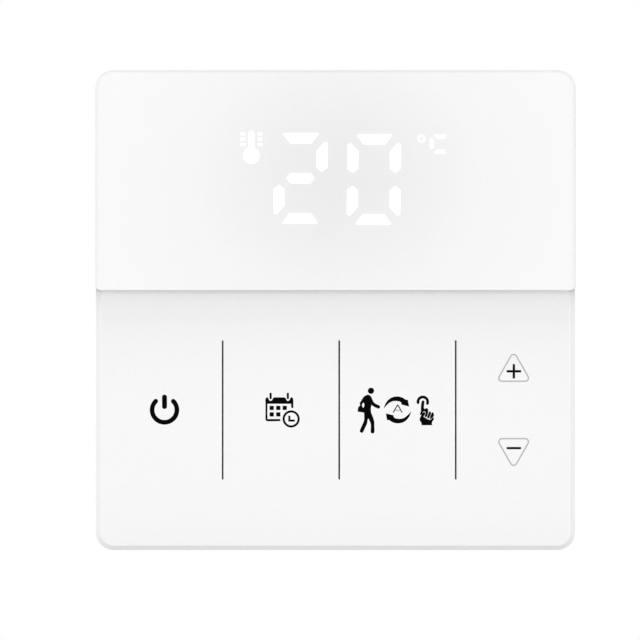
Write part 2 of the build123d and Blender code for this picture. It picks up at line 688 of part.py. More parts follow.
def make_power_box():
    box = slab(upper_part(box_outline(), BOX_STEP_Z), -BOX_DEPTH, SHALLOW_REAR)
    box = fillet(edges_at(box, -BOX_DEPTH, lambda c: True), BOX_REAR_ROUND)
    box += slab(box_outline(), SHALLOW_REAR, BOX_SEAT)
    box -= slab(box_outline(BOX_WALL), POWER_BACK, BOX_SEAT)
    box -= slab(upper_part(box_outline(BOX_WALL), BOX_STEP_Z + BOX_WALL), BOX_FLOOR, POWER_BACK)
    box -= slab(block_outline(BLOCK_FIT), SHALLOW_REAR, POWER_BACK)
    for x, z in UPPER_BOSSES:
        box += rod(x, z, UPPER_BOSS_RADIUS, BOX_FLOOR, BOX_SEAT)
    for x, z in LOWER_BOSSES:
        box += rod(x, z, LOWER_BOSS_RADIUS, POWER_BACK, BOX_SEAT)
    for x, z in UPPER_BOSSES + LOWER_BOSSES:
        box -= rod(x, z, BOX_SCREW_RADIUS + SCREW_FIT, BOX_SEAT - BOX_PILOT, BOX_SEAT)
    for x, z in POST_PLACES:
        box += rod(x, z, POST_RADIUS, BOX_FLOOR, POWER_BACK)
        box -= rod(x, z, SCREW_RADIUS + SCREW_FIT, POWER_BACK - SCREW_PILOT, POWER_BACK)
    return box


def make_box_screws():
    seat = PLATE_THICK - BOX_SCREW_HEAD
    screws = []
    for x, z in UPPER_BOSSES + LOWER_BOSSES:
        screw = rod(x, z, BOX_SCREW_HEAD_RADIUS, seat, PLATE_THICK)
        screw += rod(x, z, BOX_SCREW_RADIUS, BOX_SEAT - BOX_SCREW_LENGTH, seat)
        for width, height in ((1.4 * BOX_SCREW_HEAD_RADIUS, SCREW_SLOT_WIDTH), (SCREW_SLOT_WIDTH, 1.4 * BOX_SCREW_HEAD_RADIUS)):
            screw -= block(x, z, width, height, PLATE_THICK - SCREW_SLOT_DEPTH, PLATE_THICK)
        screws.append(screw)
    return Part() + screws


# Power board
def make_power_board():
    board = slab(box_outline(BOX_WALL + POWER_EDGE_GAP), POWER_BACK, POWER_FRONT)
    for x, z in UPPER_BOSSES:
        board -= rod(x, z, UPPER_BOSS_RADIUS + CLEARANCE_HOLE, POWER_BACK, POWER_FRONT)
    for x, z in LOWER_BOSSES:
        board -= rod(x, z, LOWER_BOSS_RADIUS + CLEARANCE_HOLE, POWER_BACK, POWER_FRONT)
    for x, z in POST_PLACES:
        board -= rod(x, z, SCREW_RADIUS + CLEARANCE_HOLE, POWER_BACK, POWER_FRONT)
    for x, z in RELAY_PINS:
        board -= rod(x, z, RELAY_PIN_RADIUS + PIN_GAP, POWER_BACK, POWER_FRONT)
    pin_hole = PIN_WIDTH + 2 * PIN_GAP
    for x, z in PIN_PLACES:
        board -= block(x, z, pin_hole, pin_hole, POWER_BACK, POWER_FRONT)
    for x in POLE_PLACES:
        board -= block(
            x, BAR_LEG_Z, BAR_LEG_WIDTH + 2 * BAR_LEG_GAP, BAR_THICK + 2 * BAR_LEG_GAP, POWER_BACK, POWER_FRONT
        )
    return board


def make_power_board_screws():
    return Part() + [pan_screw(x, z, POWER_FRONT, -1, POWER_THICK + SCREW_GRIP) for x, z in POST_PLACES]


def make_header_base():
    high = POWER_FRONT + HEADER_BASE_HEIGHT
    base = block(0, HEADER_Z, PIN_COLUMNS * PIN_PITCH, PIN_ROWS * PIN_PITCH, POWER_FRONT, high)
    return base - [block(x, z, PIN_WIDTH, PIN_WIDTH, POWER_FRONT, high) for x, z in PIN_PLACES]


def make_header_pins():
    low = POWER_BACK - PIN_TAIL
    socket_low = POWER_FRONT + HEADER_BASE_HEIGHT + SOCKET_BASE_GAP
    return Part() + [block(x, z, PIN_WIDTH, PIN_WIDTH, low, socket_low + PIN_ENGAGEMENT) for x, z in PIN_PLACES]


def make_relay_base():
    inset = 2 * (RELAY_WALL + RELAY_FIT)
    base = block(RELAY_X, RELAY_Z, RELAY_LENGTH - inset, RELAY_WIDTH - inset, RELAY_FLOOR, POWER_BACK)
    return base + [rod(x, z, RELAY_PIN_RADIUS, POWER_BACK, POWER_FRONT + RELAY_PIN_TAIL) for x, z in RELAY_PINS]


def make_relay_case():
    case = block(RELAY_X, RELAY_Z, RELAY_LENGTH, RELAY_WIDTH, RELAY_REAR, POWER_BACK)
    inside = 2 * RELAY_WALL
    return case - block(
        RELAY_X, RELAY_Z, RELAY_LENGTH - inside, RELAY_WIDTH - inside, RELAY_REAR + RELAY_WALL, POWER_BACK
    )


def make_relay_yoke():
    """The iron frame: a foot on the relay's base, the core through the coil, and the limb that the armature rocks on."""
    foot_high = RELAY_FLOOR
    foot_low = RELAY_FLOOR - YOKE_THICK
    limb_x = HINGE_X + YOKE_THICK / 2
    core_x = RELAY_X + COIL_X
    foot_start = core_x - CORE_RADIUS
    foot_end = HINGE_X + YOKE_THICK
    foot = block((foot_start + foot_end) / 2, RELAY_Z, foot_end - foot_start, YOKE_WIDTH, foot_low, foot_high)
    limb = block(limb_x, RELAY_Z, YOKE_THICK, YOKE_WIDTH, YOKE_REAR, foot_high)
    core = rod(core_x, RELAY_Z, CORE_RADIUS, ARMATURE_FRONT + POLE_GAP, foot_high)
    return foot + limb + core


def make_relay_coil():
    """The bobbin with its winding, round the core."""
    x = RELAY_X + COIL_X
    high = RELAY_FLOOR - YOKE_THICK
    low = ARMATURE_FRONT + POLE_GAP + FLANGE_THICK
    coil = rod(x, RELAY_Z, COIL_RADIUS, low, high)
    coil += rod(x, RELAY_Z, FLANGE_RADIUS, low, low + FLANGE_THICK)
    coil += rod(x, RELAY_Z, FLANGE_RADIUS, high - FLANGE_THICK, high)
    return coil - rod(x, RELAY_Z, CORE_RADIUS + CORE_FIT, low, high)


def make_relay_armature():
    """The rocking iron plate with the contact blade that it carries."""
    start = HINGE_X - ARMATURE_REACH
    end = HINGE_X + ARMATURE_HEEL
    rear = ARMATURE_FRONT - ARMATURE_THICK
    plate = block((start + end) / 2, RELAY_Z, end - start, YOKE_WIDTH, rear, ARMATURE_FRONT)
    blade_end = CONTACT_X - CONTACT_RADIUS
    blade_low = ARMATURE_FRONT - BLADE_THICK
    blade = block((blade_end + start) / 2, RELAY_Z, start - blade_end, BLADE_WIDTH, blade_low, ARMATURE_FRONT)
    button = rod(CONTACT_X, RELAY_Z, CONTACT_RADIUS, ARMATURE_FRONT, ARMATURE_FRONT + CONTACT_THICK)
    return plate + blade + button


def make_relay_contact():
    """The fixed contact that the armature's button closes on."""
    face = ARMATURE_FRONT + CONTACT_THICK + CONTACT_GAP
    post_rear = face + CONTACT_THICK
    post = block(CONTACT_X, RELAY_Z, CONTACT_POST_THICK, CONTACT_POST_WIDTH, post_rear, RELAY_FLOOR)
    return post + rod(CONTACT_X, RELAY_Z, CONTACT_RADIUS, face, post_rear)


def make_transformer_core():
    """The ferrite frame that closes round the winding."""
    high = POWER_BACK - BOBBIN_THICK
    low = high - CORE_DEPTH
    core = block(TRANSFORMER_X, TRANSFORMER_Z, CORE_LENGTH, CORE_WIDTH, low, high)
    return core - block(
        TRANSFORMER_X, TRANSFORMER_Z, CORE_LENGTH - 2 * CORE_LIMB, CORE_WIDTH, low + CORE_LIMB, high - CORE_LIMB
    )


def make_transformer_winding():
    """The wound bobbin, standing on its own foot under the ferrite frame."""
    core_high = POWER_BACK - BOBBIN_THICK
    low = core_high - CORE_DEPTH + CORE_LIMB
    high = core_high - CORE_LIMB
    body = Pos(TRANSFORMER_X, TRANSFORMER_Z) * RectangleRounded(WINDING_LENGTH, WINDING_WIDTH, WINDING_ROUND)
    winding = slab(body, low, high)
    winding += block(TRANSFORMER_X, TRANSFORMER_Z, CORE_LENGTH, WINDING_WIDTH, core_high, POWER_BACK)
    for side in (-1, 1):
        leg_z = TRANSFORMER_Z + side * (WINDING_WIDTH + CORE_WIDTH) / 4
        leg_width = (WINDING_WIDTH - CORE_WIDTH) / 2
        winding += block(TRANSFORMER_X, leg_z, WINDING_LENGTH / 2, leg_width, high, core_high)
    return winding


def make_smoothing_capacitors():
    cans = []
    for x, z, radius, height in (
        (CAPACITOR_X, CAPACITOR_Z, CAPACITOR_RADIUS, CAPACITOR_HEIGHT),
        (SMALL_CAPACITOR_X, SMALL_CAPACITOR_Z, SMALL_CAPACITOR_RADIUS, SMALL_CAPACITOR_HEIGHT),
    ):
        can = rod(x, z, radius, POWER_BACK - height, POWER_BACK)
        cans.append(fillet(can.edges().group_by(Axis.Y)[-1], CAN_ROUND))
    return Part() + cans


def make_mains_fuse():
    fuse = rod(FUSE_X, FUSE_Z, FUSE_RADIUS, POWER_BACK - FUSE_HEIGHT, POWER_BACK)
    return fillet(fuse.edges().group_by(Axis.Y)[-1], CAN_ROUND)


def make_surge_disc():
    """A coated disc on two leads."""
    centre_height = POWER_BACK - DISC_LIFT - DISC_RADIUS
    disc = extrude(Plane.YZ.offset(DISC_X - DISC_THICK / 2) * Pos(-centre_height, DISC_Z) * Circle(DISC_RADIUS), DISC_THICK)
    for side in (-1, 1):
        disc += rod(DISC_X, DISC_Z + side * LEAD_SPACING / 2, LEAD_RADIUS, centre_height, POWER_BACK)
    return disc


# Wire terminals
def contact_bar(x):
    """The bar that a wire is clamped against, with its leg through the board."""
    start = CHAMBER_Z - CHAMBER_SIDE / 2 + BAR_END_GAP
    end = BAR_LEG_Z + BAR_THICK / 2
    bar = block(x, (start + end) / 2, BAR_WIDTH, end - start, BAR_REAR, BAR_FRONT)
    return bar + block(x, BAR_LEG_Z, BAR_LEG_WIDTH, BAR_THICK, BAR_REAR, POWER_FRONT + BAR_TAIL)


def make_contact_bars():
    return Part() + [contact_bar(x) for x in POLE_PLACES]


def make_terminal_block():
    body = slab(block_outline(), BLOCK_REAR, POWER_BACK)
    window_front = CAGE_FRONT - CAGE_WALL
    for x in POLE_PLACES:
        body -= block(x, CHAMBER_Z, CHAMBER_SIDE, CHAMBER_SIDE, CHAMBER_REAR, CHAMBER_FRONT)
        head_room = CLAMP_HEAD_RADIUS + CLAMP_HEAD_GAP
        body -= rod(x, CHAMBER_Z, head_room, CLAMP_HEAD_REAR - CLAMP_HEAD_GAP, CHAMBER_REAR)
        body -= rod(x, CHAMBER_Z, ACCESS_RADIUS, BLOCK_REAR, CLAMP_HEAD_REAR - CLAMP_HEAD_GAP)
        entry_end = CHAMBER_Z - CHAMBER_SIDE / 2
        body -= block(
            x, (BLOCK_LOW_Z + entry_end) / 2, WIRE_WINDOW, entry_end - BLOCK_LOW_Z, window_front - WIRE_WINDOW, window_front
        )
        body -= contact_bar(x)
    return body


def make_clamp_cage(x):
    """The brass cage that rises to clamp the wire."""
    cage = block(x, CHAMBER_Z, CAGE_SIDE, CAGE_SIDE, CAGE_REAR, CAGE_FRONT)
    cage -= block(x, CHAMBER_Z, CAGE_SIDE - 2 * CAGE_WALL, CAGE_SIDE, CAGE_REAR + CAGE_WALL, CAGE_FRONT - CAGE_WALL)
    return cage - rod(x, CHAMBER_Z, CLAMP_SCREW_RADIUS + CLAMP_SCREW_FIT, CAGE_REAR, CAGE_REAR + CAGE_WALL)


def make_clamp_screw(x):
    """The captive screw that lifts the cage, its tip on the contact bar."""
    screw = rod(x, CHAMBER_Z, CLAMP_SCREW_RADIUS, CLAMP_HEAD_FRONT, CLAMP_TIP)
    screw += rod(x, CHAMBER_Z, CLAMP_HEAD_RADIUS, CLAMP_HEAD_REAR, CLAMP_HEAD_FRONT)
    drive = CLAMP_HEAD_REAR + CLAMP_DRIVE_DEPTH
    screw -= block(x, CHAMBER_Z, 2 * CLAMP_HEAD_RADIUS, CLAMP_DRIVE_WIDTH, CLAMP_HEAD_REAR, drive)
    return screw - block(x, CHAMBER_Z, CLAMP_DRIVE_WIDTH, 1.4 * CLAMP_HEAD_RADIUS, CLAMP_HEAD_REAR, drive)


SINGLE_NODES = {
    "display_window": make_display_window,
    "key_panel": make_key_panel,
    "front_shell": make_front_shell,
    "panel_catches": make_panel_catches,
    "display_board": make_display_board,
    "board_screws": make_board_screws,
    "led_module": make_led_module,
    "diffuser_film": make_diffuser_film,
    "touch_pads": make_touch_pads,
    "control_chips": make_control_chips,
    "backup_cell": make_backup_cell,
    "cell_clip": make_cell_clip,
    "room_sensor": make_room_sensor,
    "header_socket": make_header_socket,
    "base_plate": make_base_plate,
    "power_box": make_power_box,
    "box_screws": make_box_screws,
    "power_board": make_power_board,
    "power_board_screws": make_power_board_screws,
    "header_base": make_header_base,
    "header_pins": make_header_pins,
    "relay_base": make_relay_base,
    "relay_case": make_relay_case,
    "relay_yoke": make_relay_yoke,
    "relay_coil": make_relay_coil,
    "relay_armature": make_relay_armature,
    "relay_contact": make_relay_contact,
    "transformer_core": make_transformer_core,
    "transformer_winding": make_transformer_winding,
    "smoothing_capacitors": make_smoothing_capacitors,
    "mains_fuse": make_mains_fuse,
    "surge_disc": make_surge_disc,
    "terminal_block": make_terminal_block,
    "contact_bars": make_contact_bars,
}
POLE_NODES = {
    "clamp_cage": make_clamp_cage,
    "clamp_screw": make_clamp_screw,
}


def main():
    os.makedirs("parts", exist_ok=True)
    for node, maker in SINGLE_NODES.items():
        export_step(maker(), f"parts/{node}.step")
    for number, x in enumerate(POLE_PLACES, start=1):
        for node, maker in POLE_NODES.items():
            export_step(maker(x), f"parts/{node}_{number}.step")


main()
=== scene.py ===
"""Dresses the wall thermostat: key prints, lit display, board detail, moulded marks, finishes and studio."""

from math import asin, atan2, cos, pi, radians, sin, tau

import bmesh
import bpy
from bpy.props import FloatProperty, FloatVectorProperty, IntProperty, PointerProperty
from mathutils import Matrix, Vector


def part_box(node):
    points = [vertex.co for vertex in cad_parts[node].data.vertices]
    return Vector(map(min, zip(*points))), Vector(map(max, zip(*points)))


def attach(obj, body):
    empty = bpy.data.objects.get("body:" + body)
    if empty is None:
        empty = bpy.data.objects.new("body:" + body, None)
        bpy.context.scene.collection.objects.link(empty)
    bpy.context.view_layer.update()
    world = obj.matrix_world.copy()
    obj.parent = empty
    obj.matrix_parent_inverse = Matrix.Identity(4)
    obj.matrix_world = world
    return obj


bl_info = {
    "name": "Wall Thermostat",
    "version": (1, 0, 0),
    "blender": (4, 5, 0),
    "location": "3D View > Sidebar > Thermostat",
    "description": "Prints, display, board detail, finishes and studio for a square wall thermostat",
    "category": "Object",
}

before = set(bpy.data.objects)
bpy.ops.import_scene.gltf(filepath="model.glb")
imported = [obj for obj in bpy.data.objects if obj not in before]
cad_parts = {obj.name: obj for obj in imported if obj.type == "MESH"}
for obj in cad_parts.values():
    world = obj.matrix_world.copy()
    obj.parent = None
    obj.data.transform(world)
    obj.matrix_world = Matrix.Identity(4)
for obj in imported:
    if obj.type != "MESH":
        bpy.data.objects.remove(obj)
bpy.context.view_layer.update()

MM = 0.001
FRONT = "front_panel"
BASE = "base"
SINK = 0.004
WELD = 0.0002
WHITE = (1.0, 1.0, 1.0, 1.0)
BUMP_STRENGTH = 0.35
POLISH_SPREAD = 0.12

TOUCH_RADIUS = 2.6
PLATE_RIM = 0.8
DIVIDER_GAIN = 0.032
DISPLAY_SHIFT = 1.0
PIN_PITCH = 2.54
POLES = range(1, 7)

WINDOW_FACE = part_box("display_window")[0].y
KEY_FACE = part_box("key_panel")[0].y
PLATE_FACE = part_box("base_plate")[0].y + PLATE_RIM * MM
BOARD_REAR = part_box("display_board")[1].y
TERMINAL_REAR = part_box("terminal_block")[1].y
BOX_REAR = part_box("power_box")[1].y


def corners(node):
    """The lower and the upper corner of a CAD node's box, in millimetres."""
    return [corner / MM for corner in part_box(node)]


PADS_LOW, PADS_HIGH = corners("touch_pads")
KEY_ROW = (PADS_LOW.z + PADS_HIGH.z) / 2
KEY_FIRST = PADS_LOW.x + TOUCH_RADIUS
KEY_LAST = PADS_HIGH.x - TOUCH_RADIUS
KEY_PITCH = (KEY_LAST - KEY_FIRST) / 3
KEY_COLUMNS = [KEY_FIRST + KEY_PITCH * number for number in range(4)]
DIVIDER_PITCH = KEY_PITCH + DIVIDER_GAIN
DIVIDER_FIRST = KEY_FIRST + (KEY_PITCH - DIVIDER_GAIN) / 2
UP_ROW = PADS_HIGH.z - TOUCH_RADIUS
DOWN_ROW = PADS_LOW.z + TOUCH_RADIUS

LAMPS_LOW, LAMPS_HIGH = corners("led_module")
DISPLAY_X = (LAMPS_LOW.x + LAMPS_HIGH.x) / 2 - DISPLAY_SHIFT
DISPLAY_Z = (LAMPS_LOW.z + LAMPS_HIGH.z) / 2


def length(name, description, millimetres):
    """A length that a user may change."""
    return FloatProperty(name=name, description=description, default=millimetres * MM, unit="LENGTH")


def power(name, description, watts):
    """A lamp's power that a user may change."""
    return FloatProperty(name=name, description=description, default=watts, unit="POWER")


def light_level(name, description, default):
    """A level of light that a user may change."""
    return FloatProperty(name=name, description=description, default=default, min=0.0)


def tint(name, description, default):
    """A colour that a user may change."""
    return FloatVectorProperty(
        name=name, description=description, default=default, min=0.0, max=1.0, subtype="COLOR"
    )


class ThermostatPrint(bpy.types.PropertyGroup):
    """Printed key marks."""

    thickness: length("Ink thickness", "How far the printed marks stand on the face", 0.02)
    spread: length("Ink spread", "How far the ink runs out past the drawn outlines", 0.03)
    divider_width: length("Divider width", "Width of the lines between the keys", 0.28)
    divider_length: length("Divider length", "Length of the lines between the keys", 24.93)
    ink: tint("Ink", "Colour of the key marks", (0.0015, 0.0015, 0.0015))
    fine_ink: tint("Fine ink", "Colour of the hairlines round the step keys", (0.47, 0.47, 0.47))


class ThermostatDisplay(bpy.types.PropertyGroup):
    """Lit figures behind the window."""

    tens: IntProperty(name="Tens", description="First figure shown", default=2, min=0, max=9)
    units: IntProperty(name="Units", description="Second figure shown", default=0, min=0, max=9)
    digit_width: length("Figure width", "Width of one figure", 9.65)
    digit_height: length("Figure height", "Height of one figure", 16.3)
    digit_pitch: length("Figure pitch", "Distance between the two figures", 13.13)
    bar: length("Bar width", "Width of one lit bar", 1.98)
    thickness: length("Light depth", "How far the lit bars stand on the window", 0.015)
    light: tint("Light", "Colour of the lit bars", (0.5, 0.5, 0.5))
    strength: light_level("Strength", "Light given off by the lit bars", 1.06)


class ThermostatBoard(bpy.types.PropertyGroup):
    """Tracks and small parts on the rear of the display board."""

    track_width: length("Track width", "Width of a copper track under the mask", 0.3)
    track_thickness: length("Track thickness", "Thickness of a copper track", 0.06)
    track_pitch: length("Track pitch", "Distance between neighbouring tracks", 0.8)
    lead_width: length("Lead width", "Width of a chip lead", 0.38)
    lead_reach: length("Lead reach", "How far a chip lead stands out from its body", 1.15)
    lead_thickness: length("Lead thickness", "Thickness of a chip lead", 0.16)
    joint_radius: length("Joint radius", "Radius of a soldered joint", 0.75)
    joint_height: length("Joint height", "Height of a soldered joint", 0.55)


class ThermostatFinish(bpy.types.PropertyGroup):
    """Colours of the mouldings and of the circuit boards, and how far the window's painted shade reaches."""

    window: tint("Window", "White of the display window", (0.902, 0.902, 0.902))
    # The window's middle grey is a painted shade, greyest in front of the figures.
    window_middle: tint("Window middle", "White of the window in front of the lamps", (0.795, 0.795, 0.795))
    keys: tint("Key panel", "White of the key panel", (0.902, 0.902, 0.902))
    # The grey of the painted shade on the key panel: under the window's lip, in its corners and along its
    # foot.
    keys_shade: tint("Key panel shade", "Grey in the corners of the window's lip", (0.63, 0.63, 0.63))
    cover: tint("Cover", "White of the front cover", (0.87, 0.87, 0.865))
    base: tint("Base", "White of the wall plate and the box", (0.80, 0.80, 0.785))
    terminal: tint("Terminal block", "Green of the terminal block", (0.02, 0.21, 0.075))
    mask: tint("Solder mask", "Green of the circuit boards", (0.008, 0.105, 0.035))
    # How far the painted shade in front of the figures reaches across the window.
    glow_reach: length("Glow reach", "Distance from the figures to the plain white of the window", 43.0)


class ThermostatStudio(bpy.types.PropertyGroup):
    """Camera, lamps and floor."""

    lens: FloatProperty(name="Lens", description="Focal length", default=300.0, unit="CAMERA")
    camera_place: FloatVectorProperty(
        name="Camera",
        description="Where the camera stands, looking into the wall",
        default=(-2.777 * MM, -967.6 * MM, -1.702 * MM),
        subtype="XYZ",
        unit="LENGTH",
    )
    surround: light_level("Surround", "Level of the soft light from all round", 0.555)
    front_power: power("Front lamp", "Power of the soft lamp in front", 6.3)
    left_power: power("Left lamp", "Power of the soft lamp on the left", 2.9)
    right_power: power("Right lamp", "Power of the soft lamp on the right", 2.5)
    rear_power: power("Rear lamp", "Power of the soft lamp behind", 5.0)
    floor_drop: length("Floor", "Height of the floor below the middle of the face", -120.0)
    floor_radius: length("Floor radius", "Radius of the round floor", 600.0)


def set_inputs(tree, node, values):
    """Sets a node's inputs, each to a plain value, or fed by an output or by another node's first output."""
    for socket, value in values.items():
        if isinstance(value, bpy.types.Node):
            value = value.outputs[0]
        if isinstance(value, bpy.types.NodeSocket):
            tree.links.new(value, node.inputs[socket])
        else:
            node.inputs[socket].default_value = value


def add_node(tree, kind, values=None, **settings):
    """A node with its settings and its inputs."""
    node = tree.nodes.new(kind)
    for name, value in settings.items():
        setattr(node, name, value)
    set_inputs(tree, node, values or {})
    return node


def calculate(tree, operation, *inputs, **settings):
    """A sum on numbers."""
    return add_node(tree, "ShaderNodeMath", dict(enumerate(inputs)), operation=operation, **settings)


def calculate_vector(tree, operation, *inputs):
    """A sum on vectors."""
    return add_node(tree, "ShaderNodeVectorMath", dict(enumerate(inputs)), operation=operation)


def noise(tree, place, scale, detail):
    """A cloudy pattern."""
    return add_node(tree, "ShaderNodeTexNoise", {"Vector": place, "Scale": scale, "Detail": detail})


def new_group(name, kind, inputs, outputs):
    """An empty node group with named sockets, and its two end nodes."""
    group = bpy.data.node_groups.new(name, kind)
    for socket_name, socket_type, value in inputs:
        socket = group.interface.new_socket(socket_name, in_out="INPUT", socket_type=socket_type)
        if value is not None:
            socket.default_value = value
    for socket_name, socket_type in outputs:
        group.interface.new_socket(socket_name, in_out="OUTPUT", socket_type=socket_type)
    return group, group.nodes.new("NodeGroupInput"), group.nodes.new("NodeGroupOutput")


def surface_group(name, *extra):
    """An empty surface group, with the sockets that all of them share and its own after them."""
    inputs = [
        ("Vector", "NodeSocketVector", None),
        ("Colour", "NodeSocketColor", (0.8, 0.8, 0.8, 1.0)),
        ("Tone", "NodeSocketFloat", 0.05),
        ("Roughness", "NodeSocketFloat", 0.4),
        ("Spread", "NodeSocketFloat", 0.1),
    ]
    outputs = [("Colour", "NodeSocketColor"), ("Roughness", "NodeSocketFloat"), ("Height", "NodeSocketFloat")]
    return new_group(name, "ShaderNodeTree", [*inputs, *extra], outputs)


def finish_surface(group, entry, result, height, tone, polish):
    """Puts out the height, the colour varied by the tone and the roughness varied by the polish.

    The tone and the polish vary about a half."""
    given = entry.outputs
    level = calculate(group, "SUBTRACT", tone, 0.5)
    gain = calculate(group, "MULTIPLY_ADD", level, given["Tone"], 1.0)
    shade = add_node(group, "ShaderNodeHueSaturation", {"Value": gain, "Color": given["Colour"]})
    offset = calculate(group, "SUBTRACT", polish, 0.5)
    rough = calculate(group, "MULTIPLY_ADD", offset, given["Spread"], given["Roughness"], use_clamp=True)
    set_inputs(group, result, {"Colour": shade, "Roughness": rough, "Height": height})
    return group


def moulded_grain_group():
    """Spark-eroded plastic: a fine even grain, faint clouds of tone and uneven polish."""
    group, entry, result = surface_group("Moulded grain", ("Grain", "NodeSocketFloat", 3000.0))
    place = entry.outputs["Vector"]
    clouds = noise(group, place, 38.0, 2.0)
    wiped = noise(group, place, 150.0, 3.0)
    grain = noise(group, place, entry.outputs["Grain"], 2.0)
    grain.inputs["Roughness"].default_value = 0.6
    return finish_surface(group, entry, result, grain, clouds, wiped)


def drawn_metal_group():
    """Drawn or stamped metal: long fine lines, with the tone and the polish along them."""
    group, entry, result = surface_group("Drawn metal", ("Stretch", "NodeSocketVector", (1.0, 0.04, 1.0)))
    place = entry.outputs["Vector"]
    lines = noise(group, calculate_vector(group, "MULTIPLY", place, entry.outputs["Stretch"]), 5200.0, 3.0)
    stain = noise(group, place, 420.0, 2.0)
    return finish_surface(group, entry, result, lines, stain, lines)


def wound_wire_group():
    """Enamelled wire wound side by side: round turns, with painted shade in the lines between them and
    painted light on their crests.
    """
    turns = ("Turns", "NodeSocketFloat", 900.0)
    axis = ("Axis", "NodeSocketVector", (0.0, 0.0, 1.0))
    group, entry, result = surface_group("Wound wire", turns, axis)
    place = entry.outputs["Vector"]
    along = calculate_vector(group, "DOT_PRODUCT", place, entry.outputs["Axis"])
    count = calculate(group, "MULTIPLY", along.outputs["Value"], entry.outputs["Turns"])
    turn = calculate(group, "MULTIPLY_ADD", calculate(group, "SINE", count), 0.5, 0.5)
    stain = noise(group, place, 300.0, 2.0)
    # The tone follows the turns, so the colour carries painted light on each crest and painted shade between
    # turns.
    return finish_surface(group, entry, result, turn, turn, stain)


def board_laminate_group():
    """Lacquered glass cloth: a crossed weave that shows faintly through the mask."""
    group, entry, result = surface_group("Board laminate", ("Cloth", "NodeSocketFloat", 2600.0))
    place = entry.outputs["Vector"]
    split = add_node(group, "ShaderNodeSeparateXYZ", {0: place})
    counts = [calculate(group, "MULTIPLY", split.outputs[side], entry.outputs["Cloth"]) for side in "XZ"]
    crossed = calculate(group, "MULTIPLY", *[calculate(group, "SINE", count) for count in counts])
    weave = calculate(group, "MULTIPLY_ADD", crossed, 0.5, 0.5)
    pooled = noise(group, place, 90.0, 3.0)
    return finish_surface(group, entry, result, weave, weave, pooled)


GROUPS = {
    "Moulded grain": moulded_grain_group,
    "Drawn metal": drawn_metal_group,
    "Wound wire": wound_wire_group,
    "Board laminate": board_laminate_group,
}


def shared_group(name, makers):
    """A node group, made the first time that it is asked for."""
    return bpy.data.node_groups.get(name) or makers[name]()


def opaque(colour):
    """A colour with full alpha."""
    return (colour[0], colour[1], colour[2], 1.0)


def new_material(name):
    """An empty material, its tree and its shader."""
    material = bpy.data.materials.new(name)
    material.use_nodes = True
    tree = material.node_tree
    return material, tree, tree.nodes["Principled BSDF"]


def place_group(tree, name, values):
    """One of the shared groups placed in a material, with its own values."""
    coordinates = tree.nodes.new("ShaderNodeTexCoord")
    inputs = {"Vector": coordinates.outputs["Object"], **values}
    return add_node(tree, "ShaderNodeGroup", inputs, node_tree=shared_group(name, GROUPS))


def dressed_material(name, group_name, values, relief, shader_values):
    """A material whose colour, roughness and relief come from a shared group.

    The relief is the depth of its grain in metres. The shader's other values are the same all over."""
    material, tree, shader = new_material(name)
    surface = place_group(tree, group_name, values)
    surface.name = "Surface"
    varied = surface.outputs
    grain = {"Strength": BUMP_STRENGTH, "Distance": relief, "Height": varied["Height"]}
    bump = add_node(tree, "ShaderNodeBump", grain)
    looks = {"Base Color": varied["Colour"], "Roughness": varied["Roughness"], "Normal": bump}
    set_inputs(tree, shader, {**looks, **shader_values})
    return material


def look(colour, tone, roughness):
    """The values that the surface groups share: a colour, how far its tone varies and a roughness."""
    return {"Colour": opaque(colour), "Tone": tone, "Roughness": roughness, "Spread": POLISH_SPREAD}


def moulded(name, colour, roughness, tone=0.02, grain=3000.0, relief=0.006 * MM, level=0.4):
    """Moulded plastic."""
    values = {**look(colour, tone, roughness), "Grain": grain}
    return dressed_material(name, "Moulded grain", values, relief, {"Specular IOR Level": level})


def metal(name, colour, roughness, tone=0.25, stretch=(1.0, 0.04, 1.0)):
    """Drawn or plated metal."""
    values = {**look(colour, tone, roughness), "Stretch": stretch}
    return dressed_material(name, "Drawn metal", values, 0.004 * MM, {"Metallic": 1.0})


def fade(tree, distance, low, high, stops):
    """A ramp of greys over the distances between two ends."""
    scale = add_node(tree, "ShaderNodeMapRange", {"Value": distance, "From Min": low, "From Max": high})
    ramp = add_node(tree, "ShaderNodeValToRGB", {"Fac": scale})
    elements = ramp.color_ramp.elements
    while len(elements) < len(stops):
        elements.new(0.5)
    for element, (position, level) in zip(elements, stops):
        element.position = position
        element.color = (level, level, level, 1.0)
    return ramp


def tint_face(material, colour, level):
    """Paints a shade into a material: mixes a second colour in by a level that varies over the surface."""
    tree = material.node_tree
    surface = tree.nodes["Surface"]
    plain = tuple(surface.inputs["Colour"].default_value)
    mix = add_node(tree, "ShaderNodeMix", {0: level, 6: plain, 7: opaque(colour)}, data_type="RGBA")
    set_inputs(tree, surface, {"Colour": mix.outputs[2]})


def window_material(finish):
    """Gloss white window, with painted shade in front of the figures, where the dark lamp module shows
    through its thin white backing.
    """
    material = moulded("Window gloss", finish.window, 0.16, 0.006, 5200.0, 0.0008 * MM, 0.45)
    tree = material.node_tree
    coordinates = tree.nodes.new("ShaderNodeTexCoord")
    middle = (-DISPLAY_X * MM, 0.0, -(DISPLAY_Z + 0.6) * MM)
    shift = {"Vector": coordinates.outputs["Object"], "Location": middle}
    centre = add_node(tree, "ShaderNodeMapping", shift)
    oval = calculate_vector(tree, "MULTIPLY", centre, (1.0, 0.0, 1.15))
    distance = calculate_vector(tree, "LENGTH", oval).outputs["Value"]
    # Painted shade: darkest in front of the figures, fading to plain white at the reach.
    stops = [(0.0, 1.0), (0.1, 0.96), (0.28, 0.77), (0.44, 0.53), (0.6, 0.24), (0.76, 0.15), (1.0, 0.0)]
    tint_face(material, finish.window_middle, fade(tree, distance, 0.0, finish.glow_reach, stops))
    return material


